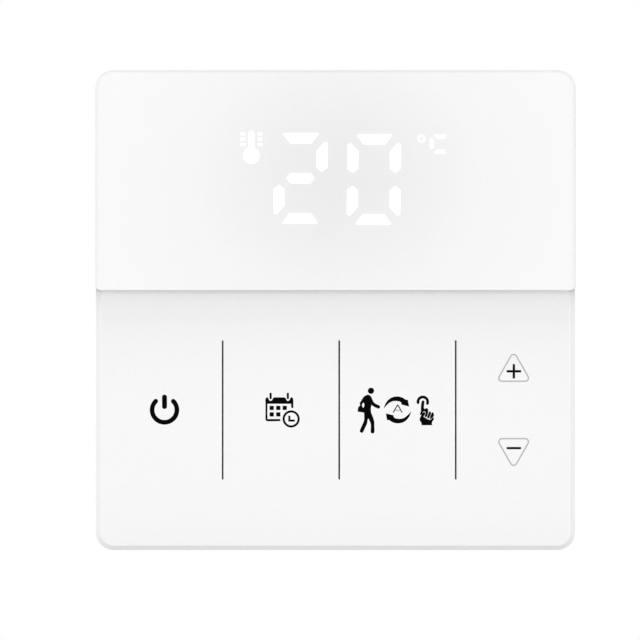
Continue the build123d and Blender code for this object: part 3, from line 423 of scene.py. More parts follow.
def key_material(finish):
    """Satin white key panel, with painted shade under the window's lip and in its corners, and a little along
    its foot.
    """
    material = moulded("Key panel satin", finish.keys, 0.35, 0.008, 4200.0, 0.001 * MM, 0.4)
    tree = material.node_tree
    low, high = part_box("key_panel")
    coordinates = tree.nodes.new("ShaderNodeTexCoord")
    split = add_node(tree, "ShaderNodeSeparateXYZ", {0: coordinates.outputs["Object"]})
    side = calculate(tree, "ABSOLUTE", split)
    # Near the side edges the painted shade follows its own ramp, which darkens the corners of the window's
    # lip.
    corner_shade_band = {"Value": side, "From Min": high.x - 1.2 * MM, "From Max": high.x - 0.9 * MM}
    corner_shade_mask = add_node(tree, "ShaderNodeMapRange", corner_shade_band)
    # Ramps of painted shade by height: a little along the foot, most just under the window's lip.
    foot = [(0.02, 0.077), (0.088, 0.039), (0.167, 0.0)]
    face = [(0.472, 0.0), (0.56, 0.015), (0.668, 0.054), (0.767, 0.116), (0.835, 0.196), (0.87, 0.273)]
    face += [(0.907, 0.316), (0.93, 0.357), (0.946, 0.404), (0.951, 0.366), (0.961, 0.129), (0.967, 0.026)]
    ends = [(0.7, 0.0), (0.795, 0.03), (0.879, 0.1), (0.928, 0.19), (0.939, 0.31), (0.947, 0.33)]
    ends += [(0.958, 0.31), (0.969, 0.44), (0.973, 0.47), (0.977, 0.53), (0.981, 0.85), (0.985, 1.0)]
    painted_shades = [fade(tree, split.outputs["Z"], low.z, high.z, foot + stops) for stops in (face, ends)]
    level = add_node(tree, "ShaderNodeMix", {0: corner_shade_mask, 2: painted_shades[0], 3: painted_shades[1]}, data_type="FLOAT")
    tint_face(material, finish.keys_shade, level)
    return material


def light_material(display):
    """Lit bars: white light that is a little uneven along each bar."""
    material, tree, shader = new_material("Lit bar")
    values = {"Colour": opaque(display.light), "Tone": 0.03, "Grain": 2500.0}
    glow = place_group(tree, "Moulded grain", values).outputs["Colour"]
    set_inputs(tree, shader, {"Base Color": glow, "Roughness": 0.4})
    set_inputs(tree, shader, {"Emission Color": glow, "Emission Strength": display.strength})
    return material


def arc(x, z, radius, start, end, steps):
    """Points along an arc about a point, from one angle in radians to another."""
    angles = [start + (end - start) * step / steps for step in range(steps + 1)]
    return [(x + radius * cos(angle), z + radius * sin(angle)) for angle in angles]


def circle(x, z, radius, count=48):
    """A round outline."""
    return arc(x, z, radius, 0.0, tau, count)[:-1]


def box_outline(x, z, width, height, corner=0.0):
    """A rectangle about a centre, with rounded corners if a corner radius is given."""
    half_width = width / 2 - corner
    half_height = height / 2 - corner
    points = []
    for quarter, (sign_x, sign_z) in enumerate([(1, -1), (1, 1), (-1, 1), (-1, -1)]):
        spot = (x + sign_x * half_width, z + sign_z * half_height)
        start = (quarter - 1) * pi / 2
        points += arc(*spot, corner, start, start + pi / 2, 5) if corner else [spot]
    return points


def stroke(x0, z0, x1, z1, width):
    """A straight stroke with round ends."""
    right = atan2(z1 - z0, x1 - x0) - pi / 2
    left = right + pi
    return arc(x1, z1, width / 2, right, left, 8) + arc(x0, z0, width / 2, left, left + pi, 8)


def arc_stroke(x, z, radius, width, start, end, steps=40):
    """A stroke along an arc, with round ends. The angles are in degrees from the right, anticlockwise."""
    first = radians(start)
    last = radians(end)
    half = width / 2
    points = arc(x, z, radius + half, first, last, steps)
    points += arc(x + radius * cos(last), z + radius * sin(last), half, last, last + pi, 8)[1:-1]
    points += arc(x, z, radius - half, last, first, steps)
    points += arc(x + radius * cos(first), z + radius * sin(first), half, first + pi, first + tau, 8)[1:-1]
    return points


def rounded(polygon, radius, steps=6):
    """A polygon with its corners rounded off."""
    points = []
    for number, corner in enumerate(polygon):
        here = Vector(corner)
        before = (Vector(polygon[number - 1]) - here).normalized()
        after = (Vector(polygon[(number + 1) % len(polygon)]) - here).normalized()
        half_angle = before.angle(after) / 2
        run = radius * cos(half_angle) / sin(half_angle)
        middle = here + (before + after).normalized() * radius / sin(half_angle)
        first = (here + before * run - middle).normalized()
        last = (here + after * run - middle).normalized()
        for step in range(steps + 1):
            point = middle + first.slerp(last, step / steps) * radius
            points.append((point.x, point.y))
    return points


def moved(outline, x, z):
    """An outline moved on the face. A third value, where a point has one, stays."""
    return [(point[0] + x, point[1] + z, *point[2:]) for point in outline]


def turned(outline, x, z):
    """An outline turned half round about a point."""
    return [(2 * x - point[0], 2 * z - point[1], *point[2:]) for point in outline]


def front_place(depth):
    """Stands a drawing up on a face that looks into the room at this Y."""
    return Matrix(((1, 0, 0, 0), (0, 0, -1, depth), (0, 1, 0, 0), (0, 0, 0, 1)))


def rear_place(depth):
    """Stands a drawing up on a face that looks at the wall at this Y, as seen from behind."""
    return Matrix(((-1, 0, 0, 0), (0, 0, 1, depth), (0, 1, 0, 0), (0, 0, 0, 1)))


def add_outline(curve, outline, smooth):
    """Adds a closed outline in millimetres to a flat curve. A point with a third value is a sharp corner."""
    spline = curve.splines.new("BEZIER" if smooth else "POLY")
    points = spline.bezier_points if smooth else spline.points
    points.add(len(outline) - 1)
    for point, place in zip(points, outline):
        spot = (place[0] * MM, place[1] * MM, 0.0)
        point.co = spot if smooth else (*spot, 1.0)
        if smooth:
            kind = "VECTOR" if len(place) > 2 else "AUTO"
            point.handle_left_type = kind
            point.handle_right_type = kind
    spline.use_cyclic_u = True


def mesh_of(curve, thickness, place):
    """A flat curve turned into a mesh that stands on the face, sunk into it by a hair."""
    curve.extrude = thickness / 2
    holder = bpy.data.objects.new(curve.name, curve)
    mesh = bpy.data.meshes.new_from_object(holder)
    mesh.transform(place @ Matrix.Translation((0.0, 0.0, thickness / 2 - SINK * MM)))
    bpy.data.objects.remove(holder)
    bpy.data.curves.remove(curve)
    return mesh


def filled_meshes(shapes, thickness, place, smooth=False, spread=0.0):
    """Thin filled meshes, one for each shape, grown outwards by a spread.

    A shape is an outline and the outlines of its holes."""
    meshes = []
    for outlines in shapes:
        curve = bpy.data.curves.new("Outline", "CURVE")
        curve.dimensions = "2D"
        curve.fill_mode = "BOTH"
        curve.offset = spread
        curve.resolution_u = 5
        for outline in outlines:
            add_outline(curve, outline, smooth)
        meshes.append(mesh_of(curve, thickness, place))
    return meshes


def figure_meshes(size, thickness, z, place):
    """Thin meshes of the terminals' numbers, each behind its terminal."""
    meshes = []
    for number in POLES:
        curve = bpy.data.curves.new("Figures", "FONT")
        curve.body = str(number)
        curve.size = size * MM
        curve.align_x = "CENTER"
        curve.align_y = "CENTER"
        spot = Matrix.Translation((pole_middle(number) * MM, z * MM, 0.0))
        meshes.append(mesh_of(curve, thickness, place @ spot))
    return meshes


def add_piece(name, meshes, material, body, smooth_faces=False):
    """One object at the origin from meshes that are in place, riding on a body."""
    if not meshes:
        raise RuntimeError(f"{name} has nothing in it")
    joined = bmesh.new()
    for mesh in meshes:
        joined.from_mesh(mesh)
        bpy.data.meshes.remove(mesh)
    bmesh.ops.remove_doubles(joined, verts=joined.verts, dist=WELD * MM)
    bmesh.ops.recalc_face_normals(joined, faces=joined.faces)
    for face in joined.faces:
        face.material_index = 0
        face.smooth = smooth_faces
    mesh = bpy.data.meshes.new(name)
    joined.to_mesh(mesh)
    joined.free()
    mesh.materials.append(material)
    piece = bpy.data.objects.new(name, mesh)
    bpy.context.scene.collection.objects.link(piece)
    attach(piece, body)


def repeat_tree(name, inputs):
    """An empty geometry tree that takes sizes and a material, and its two end nodes."""
    sockets = [("Geometry", "NodeSocketGeometry", None), *inputs, ("Material", "NodeSocketMaterial", None)]
    return new_group(name, "GeometryNodeTree", sockets, [("Geometry", "NodeSocketGeometry")])


def finish_repeat(tree, entry, result, points, shape):
    """Puts a shape on each point, makes the copies real and gives them the material."""
    repeat = add_node(tree, "GeometryNodeInstanceOnPoints", {"Points": points, "Instance": shape})
    real = add_node(tree, "GeometryNodeRealizeInstances", {"Geometry": repeat})
    finish = {"Geometry": real, "Material": entry.outputs["Material"]}
    set_inputs(tree, result, {"Geometry": add_node(tree, "GeometryNodeSetMaterial", finish)})
    return tree


def strip_row_tree():
    """Sweeps a flat strip along the given edges, and repeats it in a row."""
    inputs = [
        ("Width", "NodeSocketFloat", 0.0003),
        ("Thickness", "NodeSocketFloat", 0.00005),
        ("Count", "NodeSocketInt", 1),
        ("Pitch", "NodeSocketFloat", 0.001),
    ]
    tree, entry, result = repeat_tree("Strip row", inputs)
    given = entry.outputs
    path = add_node(tree, "GeometryNodeMeshToCurve", {"Mesh": given["Geometry"]})
    upright = add_node(tree, "GeometryNodeSetCurveNormal", {"Curve": path}, mode="Z_UP")
    size = {"Width": given["Width"], "Height": given["Thickness"]}
    section = add_node(tree, "GeometryNodeCurvePrimitiveQuadrilateral", size, mode="RECTANGLE")
    sweep = {"Curve": upright, "Profile Curve": section, "Fill Caps": True}
    strip = add_node(tree, "GeometryNodeCurveToMesh", sweep)
    step = add_node(tree, "ShaderNodeCombineXYZ", {"X": given["Pitch"]})
    row = add_node(tree, "GeometryNodeMeshLine", {"Offset": step, "Count": given["Count"]})
    return finish_repeat(tree, entry, result, row, strip)


def joint_tree():
    """Soldered joints on points: round balls flattened to a joint's radius and height."""
    inputs = [("Radius", "NodeSocketFloat", 0.0007), ("Height", "NodeSocketFloat", 0.0005)]
    tree, entry, result = repeat_tree("Soldered joints", inputs)
    given = entry.outputs
    ball = add_node(tree, "GeometryNodeMeshUVSphere", {"Segments": 16, "Rings": 8, "Radius": 1.0})
    scale = {"X": given["Radius"], "Y": given["Radius"], "Z": given["Height"]}
    size = add_node(tree, "ShaderNodeCombineXYZ", scale)
    dome = add_node(tree, "GeometryNodeTransform", {"Geometry": ball, "Scale": size})
    return finish_repeat(tree, entry, result, given["Geometry"], dome)


def block_tree():
    """Small blocks that stand on points."""
    tree, entry, result = repeat_tree("Small blocks", [("Size", "NodeSocketVector", (0.001, 0.001, 0.001))])
    given = entry.outputs
    block = add_node(tree, "GeometryNodeMeshCube", {"Size": given["Size"]})
    half = calculate_vector(tree, "MULTIPLY", given["Size"], (0.0, 0.0, 0.5))
    lift = add_node(tree, "GeometryNodeTransform", {"Geometry": block, "Translation": half})
    return finish_repeat(tree, entry, result, given["Geometry"], lift)


def ring_tree():
    """Thin moulded rings round points."""
    inputs = [("Radius", "NodeSocketFloat", 0.002), ("Bead", "NodeSocketFloat", 0.00008)]
    tree, entry, result = repeat_tree("Moulded rings", inputs)
    given = entry.outputs
    path = add_node(tree, "GeometryNodeCurvePrimitiveCircle", {"Resolution": 40, "Radius": given["Radius"]})
    bead = add_node(tree, "GeometryNodeCurvePrimitiveCircle", {"Resolution": 8, "Radius": given["Bead"]})
    ring = add_node(tree, "GeometryNodeCurveToMesh", {"Curve": path, "Profile Curve": bead})
    return finish_repeat(tree, entry, result, given["Geometry"], ring)


TREES = {
    "Strip row": strip_row_tree,
    "Soldered joints": joint_tree,
    "Small blocks": block_tree,
    "Moulded rings": ring_tree,
}


def line_mesh(runs):
    """A mesh of edges along runs of points in millimetres. A run of one point is a loose point."""
    mesh = bpy.data.meshes.new("Runs")
    points = []
    edges = []
    for run in runs:
        first = len(points)
        points += [Vector(point).to_3d() * MM for point in run]
        edges += [(first + step, first + step + 1) for step in range(len(run) - 1)]
    mesh.from_pydata(points, edges, [])
    return mesh


def grown(tree_name, runs, sizes, material, place):
    """The plain mesh that a geometry tree makes on runs of points, put in its place."""
    tree = shared_group(tree_name, TREES)
    source = line_mesh(runs)
    holder = bpy.data.objects.new(tree_name, source)
    bpy.context.scene.collection.objects.link(holder)
    modifier = holder.modifiers.new(tree_name, "NODES")
    modifier.node_group = tree
    sockets = {item.name: item.identifier for item in tree.interface.items_tree if item.in_out == "INPUT"}
    for name, value in {**sizes, "Material": material}.items():
        modifier[sockets[name]] = value
    depsgraph = bpy.context.evaluated_depsgraph_get()
    mesh = bpy.data.meshes.new_from_object(holder.evaluated_get(depsgraph))
    bpy.data.objects.remove(holder)
    bpy.data.meshes.remove(source)
    if not mesh.polygons:
        raise RuntimeError(f"{tree_name} made no faces")
    mesh.transform(place)
    return mesh


def dots(places):
    """Loose points, as runs of one point each."""
    return [[place] for place in places]


def material_named(name):
    """A finish made by an earlier operator."""
    material = bpy.data.materials.get(name)
    if material is None:
        raise RuntimeError(f"the finish {name} is made by an operator that comes before this one")
    return material


PLASTICS = {
    "front_shell": "Cover satin",
    "panel_catches": "Cover satin",
    "base_plate": "Base satin",
    "power_box": "Base satin",
    "led_module": "Reflector white",
    "diffuser_film": "Diffuser film",
    "relay_base": "Relay base",
    "relay_case": "Relay case",
    "terminal_block": "Terminal block",
    "header_socket": "Black nylon",
    "header_base": "Black nylon",
    "touch_pads": "Conductive foam",
    "control_chips": "Chip epoxy",
    "room_sensor": "Sensor bead",
    "smoothing_capacitors": "Capacitor sleeve",
    "surge_disc": "Disc lacquer",
    "mains_fuse": "Fuse glass",
    "transformer_core": "Ferrite",
}

WIRE_TURNS = 24000.0
COPPER_GAIN = 1.6
METALS_AND_BOARDS = {
    "board_screws": "Zinc steel",
    "box_screws": "Zinc steel",
    "power_board_screws": "Zinc steel",
    "backup_cell": "Nickel steel",
    "cell_clip": "Nickel steel",
    "header_pins": "Plated brass",
    "relay_yoke": "Zinc steel",
    "relay_armature": "Zinc steel",
    "relay_contact": "Contact copper",
    "contact_bars": "Plated brass",
    **{f"clamp_cage_{number}": "Plated brass" for number in POLES},
    **{f"clamp_screw_{number}": "Zinc steel" for number in POLES},
    "relay_coil": "Relay winding",
    "transformer_winding": "Transformer winding",
    "display_board": "Solder mask",
    "power_board": "Solder mask",
}


def give(finishes):
    """Puts the named finishes in every slot of their CAD nodes."""
    for node, name in finishes.items():
        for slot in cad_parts[node].material_slots:
            slot.material = material_named(name)


class THERMOSTAT_OT_face_finishes(bpy.types.Operator):
    """Give the window and the key panel their gloss and their painted shade"""

    bl_idname = "thermostat.face_finishes"
    bl_label = "Face finishes"
    bl_options = {"REGISTER", "UNDO"}

    def execute(self, context):
        finish = context.scene.thermostat_finish
        window_material(finish)
        key_material(finish)
        give({"display_window": "Window gloss", "key_panel": "Key panel satin"})
        return {"FINISHED"}


class THERMOSTAT_OT_plastic_finishes(bpy.types.Operator):
    """Give the mouldings, the chips and the small insulating parts their plastics"""

    bl_idname = "thermostat.plastic_finishes"
    bl_label = "Plastic finishes"
    bl_options = {"REGISTER", "UNDO"}

    def execute(self, context):
        finish = context.scene.thermostat_finish
        moulded("Cover satin", finish.cover, 0.38, 0.02, 3200.0, 0.004 * MM)
        moulded("Base satin", finish.base, 0.5, 0.035, 2400.0, 0.010 * MM)
        moulded("Reflector white", (0.78, 0.78, 0.78), 0.45, 0.03)
        moulded("Diffuser film", (0.82, 0.82, 0.8), 0.6, 0.04)
        moulded("Relay base", (0.02, 0.02, 0.022), 0.5, 0.3)
        moulded("Relay case", (0.02, 0.06, 0.22), 0.36, 0.15)
        moulded("Terminal block", finish.terminal, 0.42, 0.14, 2600.0, 0.010 * MM)
        moulded("Black nylon", (0.016, 0.016, 0.017), 0.48, 0.3)
        moulded("Conductive foam", (0.045, 0.045, 0.05), 0.9, 0.5, 1400.0, 0.08 * MM, 0.2)
        moulded("Chip epoxy", (0.018, 0.018, 0.019), 0.55, 0.35, 4200.0, 0.012 * MM, 0.4)
        moulded("Sensor bead", (0.3, 0.11, 0.03), 0.15, 0.3, 900.0, 0.006 * MM, 0.6)
        moulded("Capacitor sleeve", (0.02, 0.025, 0.05), 0.36, 0.25)
        moulded("Disc lacquer", (0.03, 0.1, 0.36), 0.36, 0.2, 900.0, 0.02 * MM)
        moulded("Fuse glass", (0.7, 0.72, 0.7), 0.1, 0.1)
        moulded("Ferrite", (0.035, 0.035, 0.038), 0.55, 0.3, 2200.0, 0.012 * MM)
        give(PLASTICS)
        return {"FINISHED"}


class THERMOSTAT_OT_metal_finishes(bpy.types.Operator):
    """Give the metal parts their metals, the coils their wire and the boards their mask"""

    bl_idname = "thermostat.metal_finishes"
    bl_label = "Metal and board finishes"
    bl_options = {"REGISTER", "UNDO"}

    def execute(self, context):
        finish = context.scene.thermostat_finish
        metal("Zinc steel", (0.5, 0.5, 0.51), 0.36)
        metal("Nickel steel", (0.68, 0.66, 0.62), 0.2, 0.2, (1.0, 1.0, 0.05))
        metal("Plated brass", (0.66, 0.49, 0.2), 0.2, 0.3)
        metal("Contact copper", (0.66, 0.31, 0.16), 0.2, 0.3)
        metal("Solder", (0.6, 0.6, 0.61), 0.2, 0.3, (1.0, 1.0, 1.0))
        coils = {"Relay winding": (0.45, 0.14, 0.04), "Transformer winding": (0.62, 0.4, 0.05)}
        for name, colour in coils.items():
            # The strong tone sets how far the painted light and shade on the turns go.
            values = {**look(colour, 0.8, 0.36), "Turns": WIRE_TURNS}
            dressed_material(name, "Wound wire", values, 0.06 * MM, {"Coat Weight": 0.3})
        coat = {"Coat Weight": 0.25}
        mask = look(finish.mask, 0.12, 0.36)
        dressed_material("Solder mask", "Board laminate", mask, 0.004 * MM, coat)
        copper = {**look([level * COPPER_GAIN for level in finish.mask], 0.12, 0.36), "Spread": 0.1}
        dressed_material("Masked copper", "Board laminate", copper, 0.004 * MM, coat)
        give(METALS_AND_BOARDS)
        moulded("Silk ink", (0.78, 0.78, 0.75), 0.6, 0.12, 5000.0, 0.006 * MM)
        moulded("Label film", (0.86, 0.86, 0.855), 0.36, 0.015, 4000.0, 0.002 * MM)
        moulded("Label ink", (0.02, 0.02, 0.021), 0.5, 0.2, 5000.0, 0.003 * MM)
        moulded("Chip ceramic", (0.36, 0.26, 0.17), 0.45, 0.15)
        return {"FINISHED"}


WALKER = [
    (-5.3, 2.7), (-5.0, 2.64), (-4.8, 2.46), (-4.58, 2.08), (-4.4, 1.65), (-4.2, 1.32), (-4.0, 1.14),
    (-3.35, 0.83), (-3.13, 0.62), (-3.16, 0.38), (-3.4, 0.27), (-3.65, 0.36), (-4.1, 0.57),
    (-4.42, 0.77), (-4.62, 0.99, "corner"), (-4.72, 0.6), (-4.78, 0.0), (-4.7, -0.5), (-4.5, -1.05),
    (-4.25, -1.75), (-4.16, -2.2), (-4.15, -3.0), (-4.15, -3.95), (-4.24, -4.14), (-4.45, -4.19),
    (-4.66, -4.12), (-4.73, -3.95), (-4.73, -2.6), (-4.83, -2.2), (-5.0, -1.8),
    (-5.18, -1.42, "corner"), (-5.36, -1.8), (-5.42, -2.3), (-5.5, -2.56), (-5.78, -3.14),
    (-6.11, -3.84), (-6.34, -4.08), (-6.58, -3.98), (-6.7, -3.78), (-6.55, -3.35), (-6.25, -2.65),
    (-6.0, -2.1), (-5.91, -1.6), (-5.93, -0.46, "corner"), (-7.09, -0.29, "corner"), (-6.95, 0.48),
    (-6.82, 0.63), (-6.67, 0.74), (-6.7, 1.2), (-6.55, 1.48), (-6.22, 2.04), (-5.95, 2.38),
    (-5.62, 2.58),
]
WALKER_ARM_GAP = [
    (-6.11, 1.31), (-5.95, 1.18), (-5.94, 0.55), (-6.12, 0.38), (-6.29, 0.55), (-6.28, 1.18),
]
CYCLE_ARROW = [
    (-2.36, 0.36, "corner"), (-2.18, 0.92), (-1.95, 1.34), (-1.5, 1.86), (-0.95, 2.2), (-0.35, 2.36),
    (0.3, 2.36), (0.85, 2.2), (1.3, 1.95), (1.52, 1.8, "corner"), (1.86, 1.79, "corner"),
    (2.09, 0.65, "corner"), (0.74, 1.0, "corner"), (0.78, 1.22, "corner"), (0.5, 1.5), (0.0, 1.61),
    (-0.6, 1.61), (-1.1, 1.48), (-1.55, 1.2), (-1.95, 0.83),
]
FINGERS = [
    (4.62, 1.67), (4.8, 1.58), (4.83, 1.4), (4.78, 0.95), (4.75, 0.35), (4.84, 0.13, "corner"),
    (5.0, 0.2), (5.28, 0.27), (5.47, 0.15), (5.52, -0.15), (5.48, -0.55), (5.37, -0.95), (5.19, -1.25),
    (5.02, -1.31), (4.94, -1.16), (5.07, -0.8), (5.11, -0.52), (5.03, -0.31), (4.85, -0.24),
    (4.65, -0.32), (4.49, -0.54), (4.34, -0.77), (4.1, -0.84), (4.1, -0.68), (4.24, -0.35), (4.25, 0.2),
    (4.3, 0.8), (4.4, 1.45), (4.47, 1.62),
]
PALM = [
    (4.78, -0.42), (4.96, -0.47), (4.99, -0.72), (4.82, -1.0), (4.69, -1.19), (4.83, -1.36),
    (5.12, -1.5), (5.5, -1.71), (5.86, -1.8), (6.05, -1.72), (6.24, -1.54), (6.4, -1.39), (6.51, -1.42),
    (6.43, -1.82), (6.23, -2.15), (6.18, -2.4), (6.22, -2.71, "corner"), (4.37, -2.71, "corner"),
    (4.37, -2.4), (4.15, -2.05), (4.03, -1.75), (4.1, -1.42), (4.25, -1.15), (4.3, -0.95), (4.5, -0.65),
]
THIRD_FINGER = [
    (5.8, -0.33), (5.97, -0.36), (6.03, -0.52), (5.92, -0.88), (5.78, -1.22), (5.63, -1.49),
    (5.44, -1.47), (5.4, -1.28), (5.55, -0.85), (5.68, -0.45),
]
LITTLE_FINGER = [
    (6.33, -0.45), (6.47, -0.6), (6.55, -0.92), (6.51, -1.1), (6.37, -1.27), (6.2, -1.43), (6.0, -1.6),
    (5.86, -1.56), (5.94, -1.22), (6.15, -0.68),
]
CALENDAR_FRAME = [
    (-2.74, 1.9), (-2.65, 2.14), (-2.5, 2.25), (-2.33, 2.14), (-2.2, 1.86), (-2.02, 1.65),
    (-1.85, 1.58), (-1.68, 1.65), (-1.5, 1.86), (-1.38, 2.08), (-1.2, 2.22, "corner"),
    (0.67, 2.22, "corner"), (0.82, 2.05), (0.95, 1.83), (1.08, 1.65), (1.25, 1.57), (1.43, 1.65),
    (1.6, 1.84), (1.72, 2.1), (1.9, 2.25), (2.08, 2.12), (2.17, 1.85), (2.18, 1.2),
    (2.18, 0.37, "corner"), (1.86, 0.42, "corner"), (1.86, 1.13, "corner"), (-2.46, 1.13, "corner"),
    (-2.46, -1.67, "corner"), (-0.14, -1.67, "corner"), (-0.14, -1.975, "corner"), (-2.5, -1.975),
    (-2.67, -1.89), (-2.74, -1.65), (-2.74, -1.2), (-2.74, 0.1), (-2.74, 1.4),
]
CALENDAR_DAYS = [(-1.66, 0.36), (-0.48, 0.36), (0.68, 0.36), (-1.66, -0.8), (-0.48, -0.8)]
CLOCK_HANDS = [(1.65, -1.07), (1.65, -1.76), (2.45, -1.76), (2.45, -2.07), (1.35, -2.07), (1.35, -1.07)]
CLOCK = (1.83, -1.62)


def print_mark(settings, name, ink, key, plain=(), curved=(), spread=None):
    """Prints one mark in its key's place: its straight-sided shapes, and those with smooth outlines."""
    growth = settings.spread if spread is None else spread
    meshes = []
    for shapes, smooth in ((plain, False), (curved, True)):
        placed = [[moved(outline, *key) for outline in outlines] for outlines in shapes]
        meshes += filled_meshes(placed, settings.thickness, front_place(KEY_FACE), smooth, growth)
    add_piece(name, meshes, material_named(ink), FRONT)


class THERMOSTAT_OT_key_dividers(bpy.types.Operator):
    """Print the lines between the key columns"""

    bl_idname = "thermostat.key_dividers"
    bl_label = "Key dividers"
    bl_options = {"REGISTER", "UNDO"}

    def execute(self, context):
        settings = context.scene.thermostat_print
        ink = moulded("Key ink", settings.ink, 0.6, 0.2, 5000.0, 0.003 * MM, 0.02)
        moulded("Fine key ink", settings.fine_ink, 0.6, 0.05, 5000.0, 0.003 * MM, 0.1)
        half_length = settings.divider_length / MM / 2
        run = [(DIVIDER_FIRST, KEY_ROW + side * half_length) for side in (-1, 1)]
        sizes = {"Width": settings.divider_width, "Thickness": settings.thickness}
        row = {"Count": 3, "Pitch": DIVIDER_PITCH * MM}
        line = grown("Strip row", [run], {**sizes, **row}, ink, front_place(KEY_FACE))
        add_piece("divider_lines", [line], ink, FRONT)
        return {"FINISHED"}


class THERMOSTAT_OT_power_mark(bpy.types.Operator):
    """Print the power key's ring and bar"""

    bl_idname = "thermostat.power_mark"
    bl_label = "Power mark"
    bl_options = {"REGISTER", "UNDO"}

    def execute(self, context):
        ring = arc_stroke(-0.02, 0.0, 2.225, 0.77, 135.0, 405.0)
        bar = stroke(-0.02, 0.6, -0.02, 2.31, 0.82)
        settings = context.scene.thermostat_print
        print_mark(settings, "power_mark", "Key ink", (KEY_COLUMNS[0], KEY_ROW), [[ring], [bar]])
        return {"FINISHED"}


class THERMOSTAT_OT_calendar_mark(bpy.types.Operator):
    """Print the programme key's calendar sheet and clock"""

    bl_idname = "thermostat.calendar_mark"
    bl_label = "Calendar mark"
    bl_options = {"REGISTER", "UNDO"}

    def execute(self, context):
        rings = [[stroke(x, 2.12, x, 2.9, 0.33)] for x in (-1.85, 1.24)]
        cells = [[box_outline(x, z, 0.69, 0.69)] for x, z in CALENDAR_DAYS]
        clock = [circle(*CLOCK, 1.51), circle(*CLOCK, 1.18)]
        plain = [*rings, *cells, clock, [CLOCK_HANDS]]
        key = (KEY_COLUMNS[1], KEY_ROW)
        settings = context.scene.thermostat_print
        print_mark(settings, "calendar_mark", "Key ink", key, plain, [[CALENDAR_FRAME]])
        return {"FINISHED"}


class THERMOSTAT_OT_mode_marks(bpy.types.Operator):
    """Print the mode key's walker, its pair of turning arrows and its touching hand"""

    bl_idname = "thermostat.mode_marks"
    bl_label = "Mode marks"
    bl_options = {"REGISTER", "UNDO"}

    def execute(self, context):
        settings = context.scene.thermostat_print
        key = (KEY_COLUMNS[2], KEY_ROW)
        head = circle(-4.72, 3.43, 0.53, 24)
        print_mark(settings, "walking_mark", "Key ink", key, [[head]], [[WALKER, WALKER_ARM_GAP]])
        arrows = [[CYCLE_ARROW], [turned(CYCLE_ARROW, 0.03, 0.0)]]
        print_mark(settings, "cycle_mark", "Key ink", key, curved=arrows)
        legs = [[stroke(-0.7, -0.42, 0.04, 0.86, 0.13)], [stroke(0.83, -0.42, 0.12, 0.86, 0.13)]]
        print_mark(settings, "auto_mark", "Key ink", key, legs)
        bar = box_outline(0.06, -0.07, 0.72, 0.16)
        print_mark(settings, "auto_mark_bar", "Fine key ink", key, [[bar]])
        ripple = arc_stroke(4.58, 1.45, 0.87, 0.44, -19.0, 189.0)
        hand = [[FINGERS], [PALM], [THIRD_FINGER], [LITTLE_FINGER]]
        print_mark(settings, "touch_mark", "Key ink", key, [[ripple]], hand)
        return {"FINISHED"}


class THERMOSTAT_OT_step_marks(bpy.types.Operator):
    """Print the hairline triangles of the two step keys, with a plus and a minus in them"""

    bl_idname = "thermostat.step_marks"
    bl_label = "Step marks"
    bl_options = {"REGISTER", "UNDO"}

    def execute(self, context):
        settings = context.scene.thermostat_print
        up_key = (KEY_LAST, UP_ROW)
        down_key = (KEY_LAST, DOWN_ROW)
        outer = rounded([(-3.28, -2.49), (3.28, -2.49), (0.0, 3.26)], 0.69)
        inner = rounded([(-2.86, -2.25), (2.86, -2.25), (0.0, 2.78)], 0.45)
        up = [outer, inner]
        down = [turned(outline, 0.0, 0.0) for outline in up]
        print_mark(settings, "up_outline", "Fine key ink", up_key, [up], spread=0.0)
        print_mark(settings, "down_outline", "Fine key ink", down_key, [down], spread=0.0)
        reach = 1.26
        half = 0.18
        arm = [(-reach, -half), (-half, -half), (-half, -reach)]
        plus = []
        for _ in range(4):
            plus += arm
            arm = [(-z, x) for x, z in arm]
        print_mark(settings, "up_mark", "Key ink", up_key, [[moved(plus, 0.04, -0.59)]])
        minus = box_outline(0.04, 0.67, 2 * reach, 1.9 * half)
        print_mark(settings, "down_mark", "Key ink", down_key, [[minus]])
        return {"FINISHED"}


LIT_BARS = ("abcdef", "bc", "abged", "abgcd", "fgbc", "afgcd", "afgedc", "abc", "abcdefg", "abcdfg")
FIGURE_SLANT = 0.0115
TENS_LIFT = 0.04
UNITS_LIFT = -0.155
BULB_RADIUS = 1.52
STEM_RADIUS = 0.6
STEM_HEIGHT = 4.5
LETTER_BARS = [
    [(17.15, 7.88), (19.68, 7.88), (19.25, 7.07), (17.75, 7.07)],
    [(16.53, 7.18), (16.9, 7.38), (17.32, 6.95), (17.32, 5.62), (16.95, 5.24), (16.53, 5.42)],
    [(17.65, 5.2), (19.2, 5.2), (19.52, 4.41), (17.15, 4.41)],
]


def figure_bars(width, height, bar):
    """The seven bars of a figure about its middle, in millimetres, keyed by their usual letters."""
    right = width / 2
    top = height / 2
    half_cap = right - 0.715 * bar
    half_foot = right - 1.47 * bar
    cap = [(-half_cap, top), (half_cap, top), (half_foot, top - bar), (-half_foot, top - bar)]
    side = [
        (right, top - 0.9 * bar),
        (right, 0.94 * bar),
        (right - 0.52 * bar, 0.56 * bar),
        (right - 1.0 * bar, 0.94 * bar),
        (right - 1.04 * bar, top - 1.62 * bar),
        (right - 0.35 * bar, top - 0.84 * bar),
    ]
    tip = right - 1.13 * bar
    flat = right - 1.52 * bar
    half_bar = 0.485 * bar
    middle = [(-tip, 0.0), (-flat, half_bar), (flat, half_bar)]
    middle += [(tip, 0.0), (flat, -half_bar), (-flat, -half_bar)]
    cap, side, middle = [rounded(outline, bar * 0.12) for outline in (cap, side, middle)]
    upright = {
        "a": cap,
        "b": side,
        "c": [(x, -z) for x, z in side],
        "d": [(x, -z) for x, z in cap],
        "e": [(-x, -z) for x, z in side],
        "f": [(-x, z) for x, z in side],
        "g": middle,
    }
    return {letter: [(x + FIGURE_SLANT * z, z) for x, z in outline] for letter, outline in upright.items()}


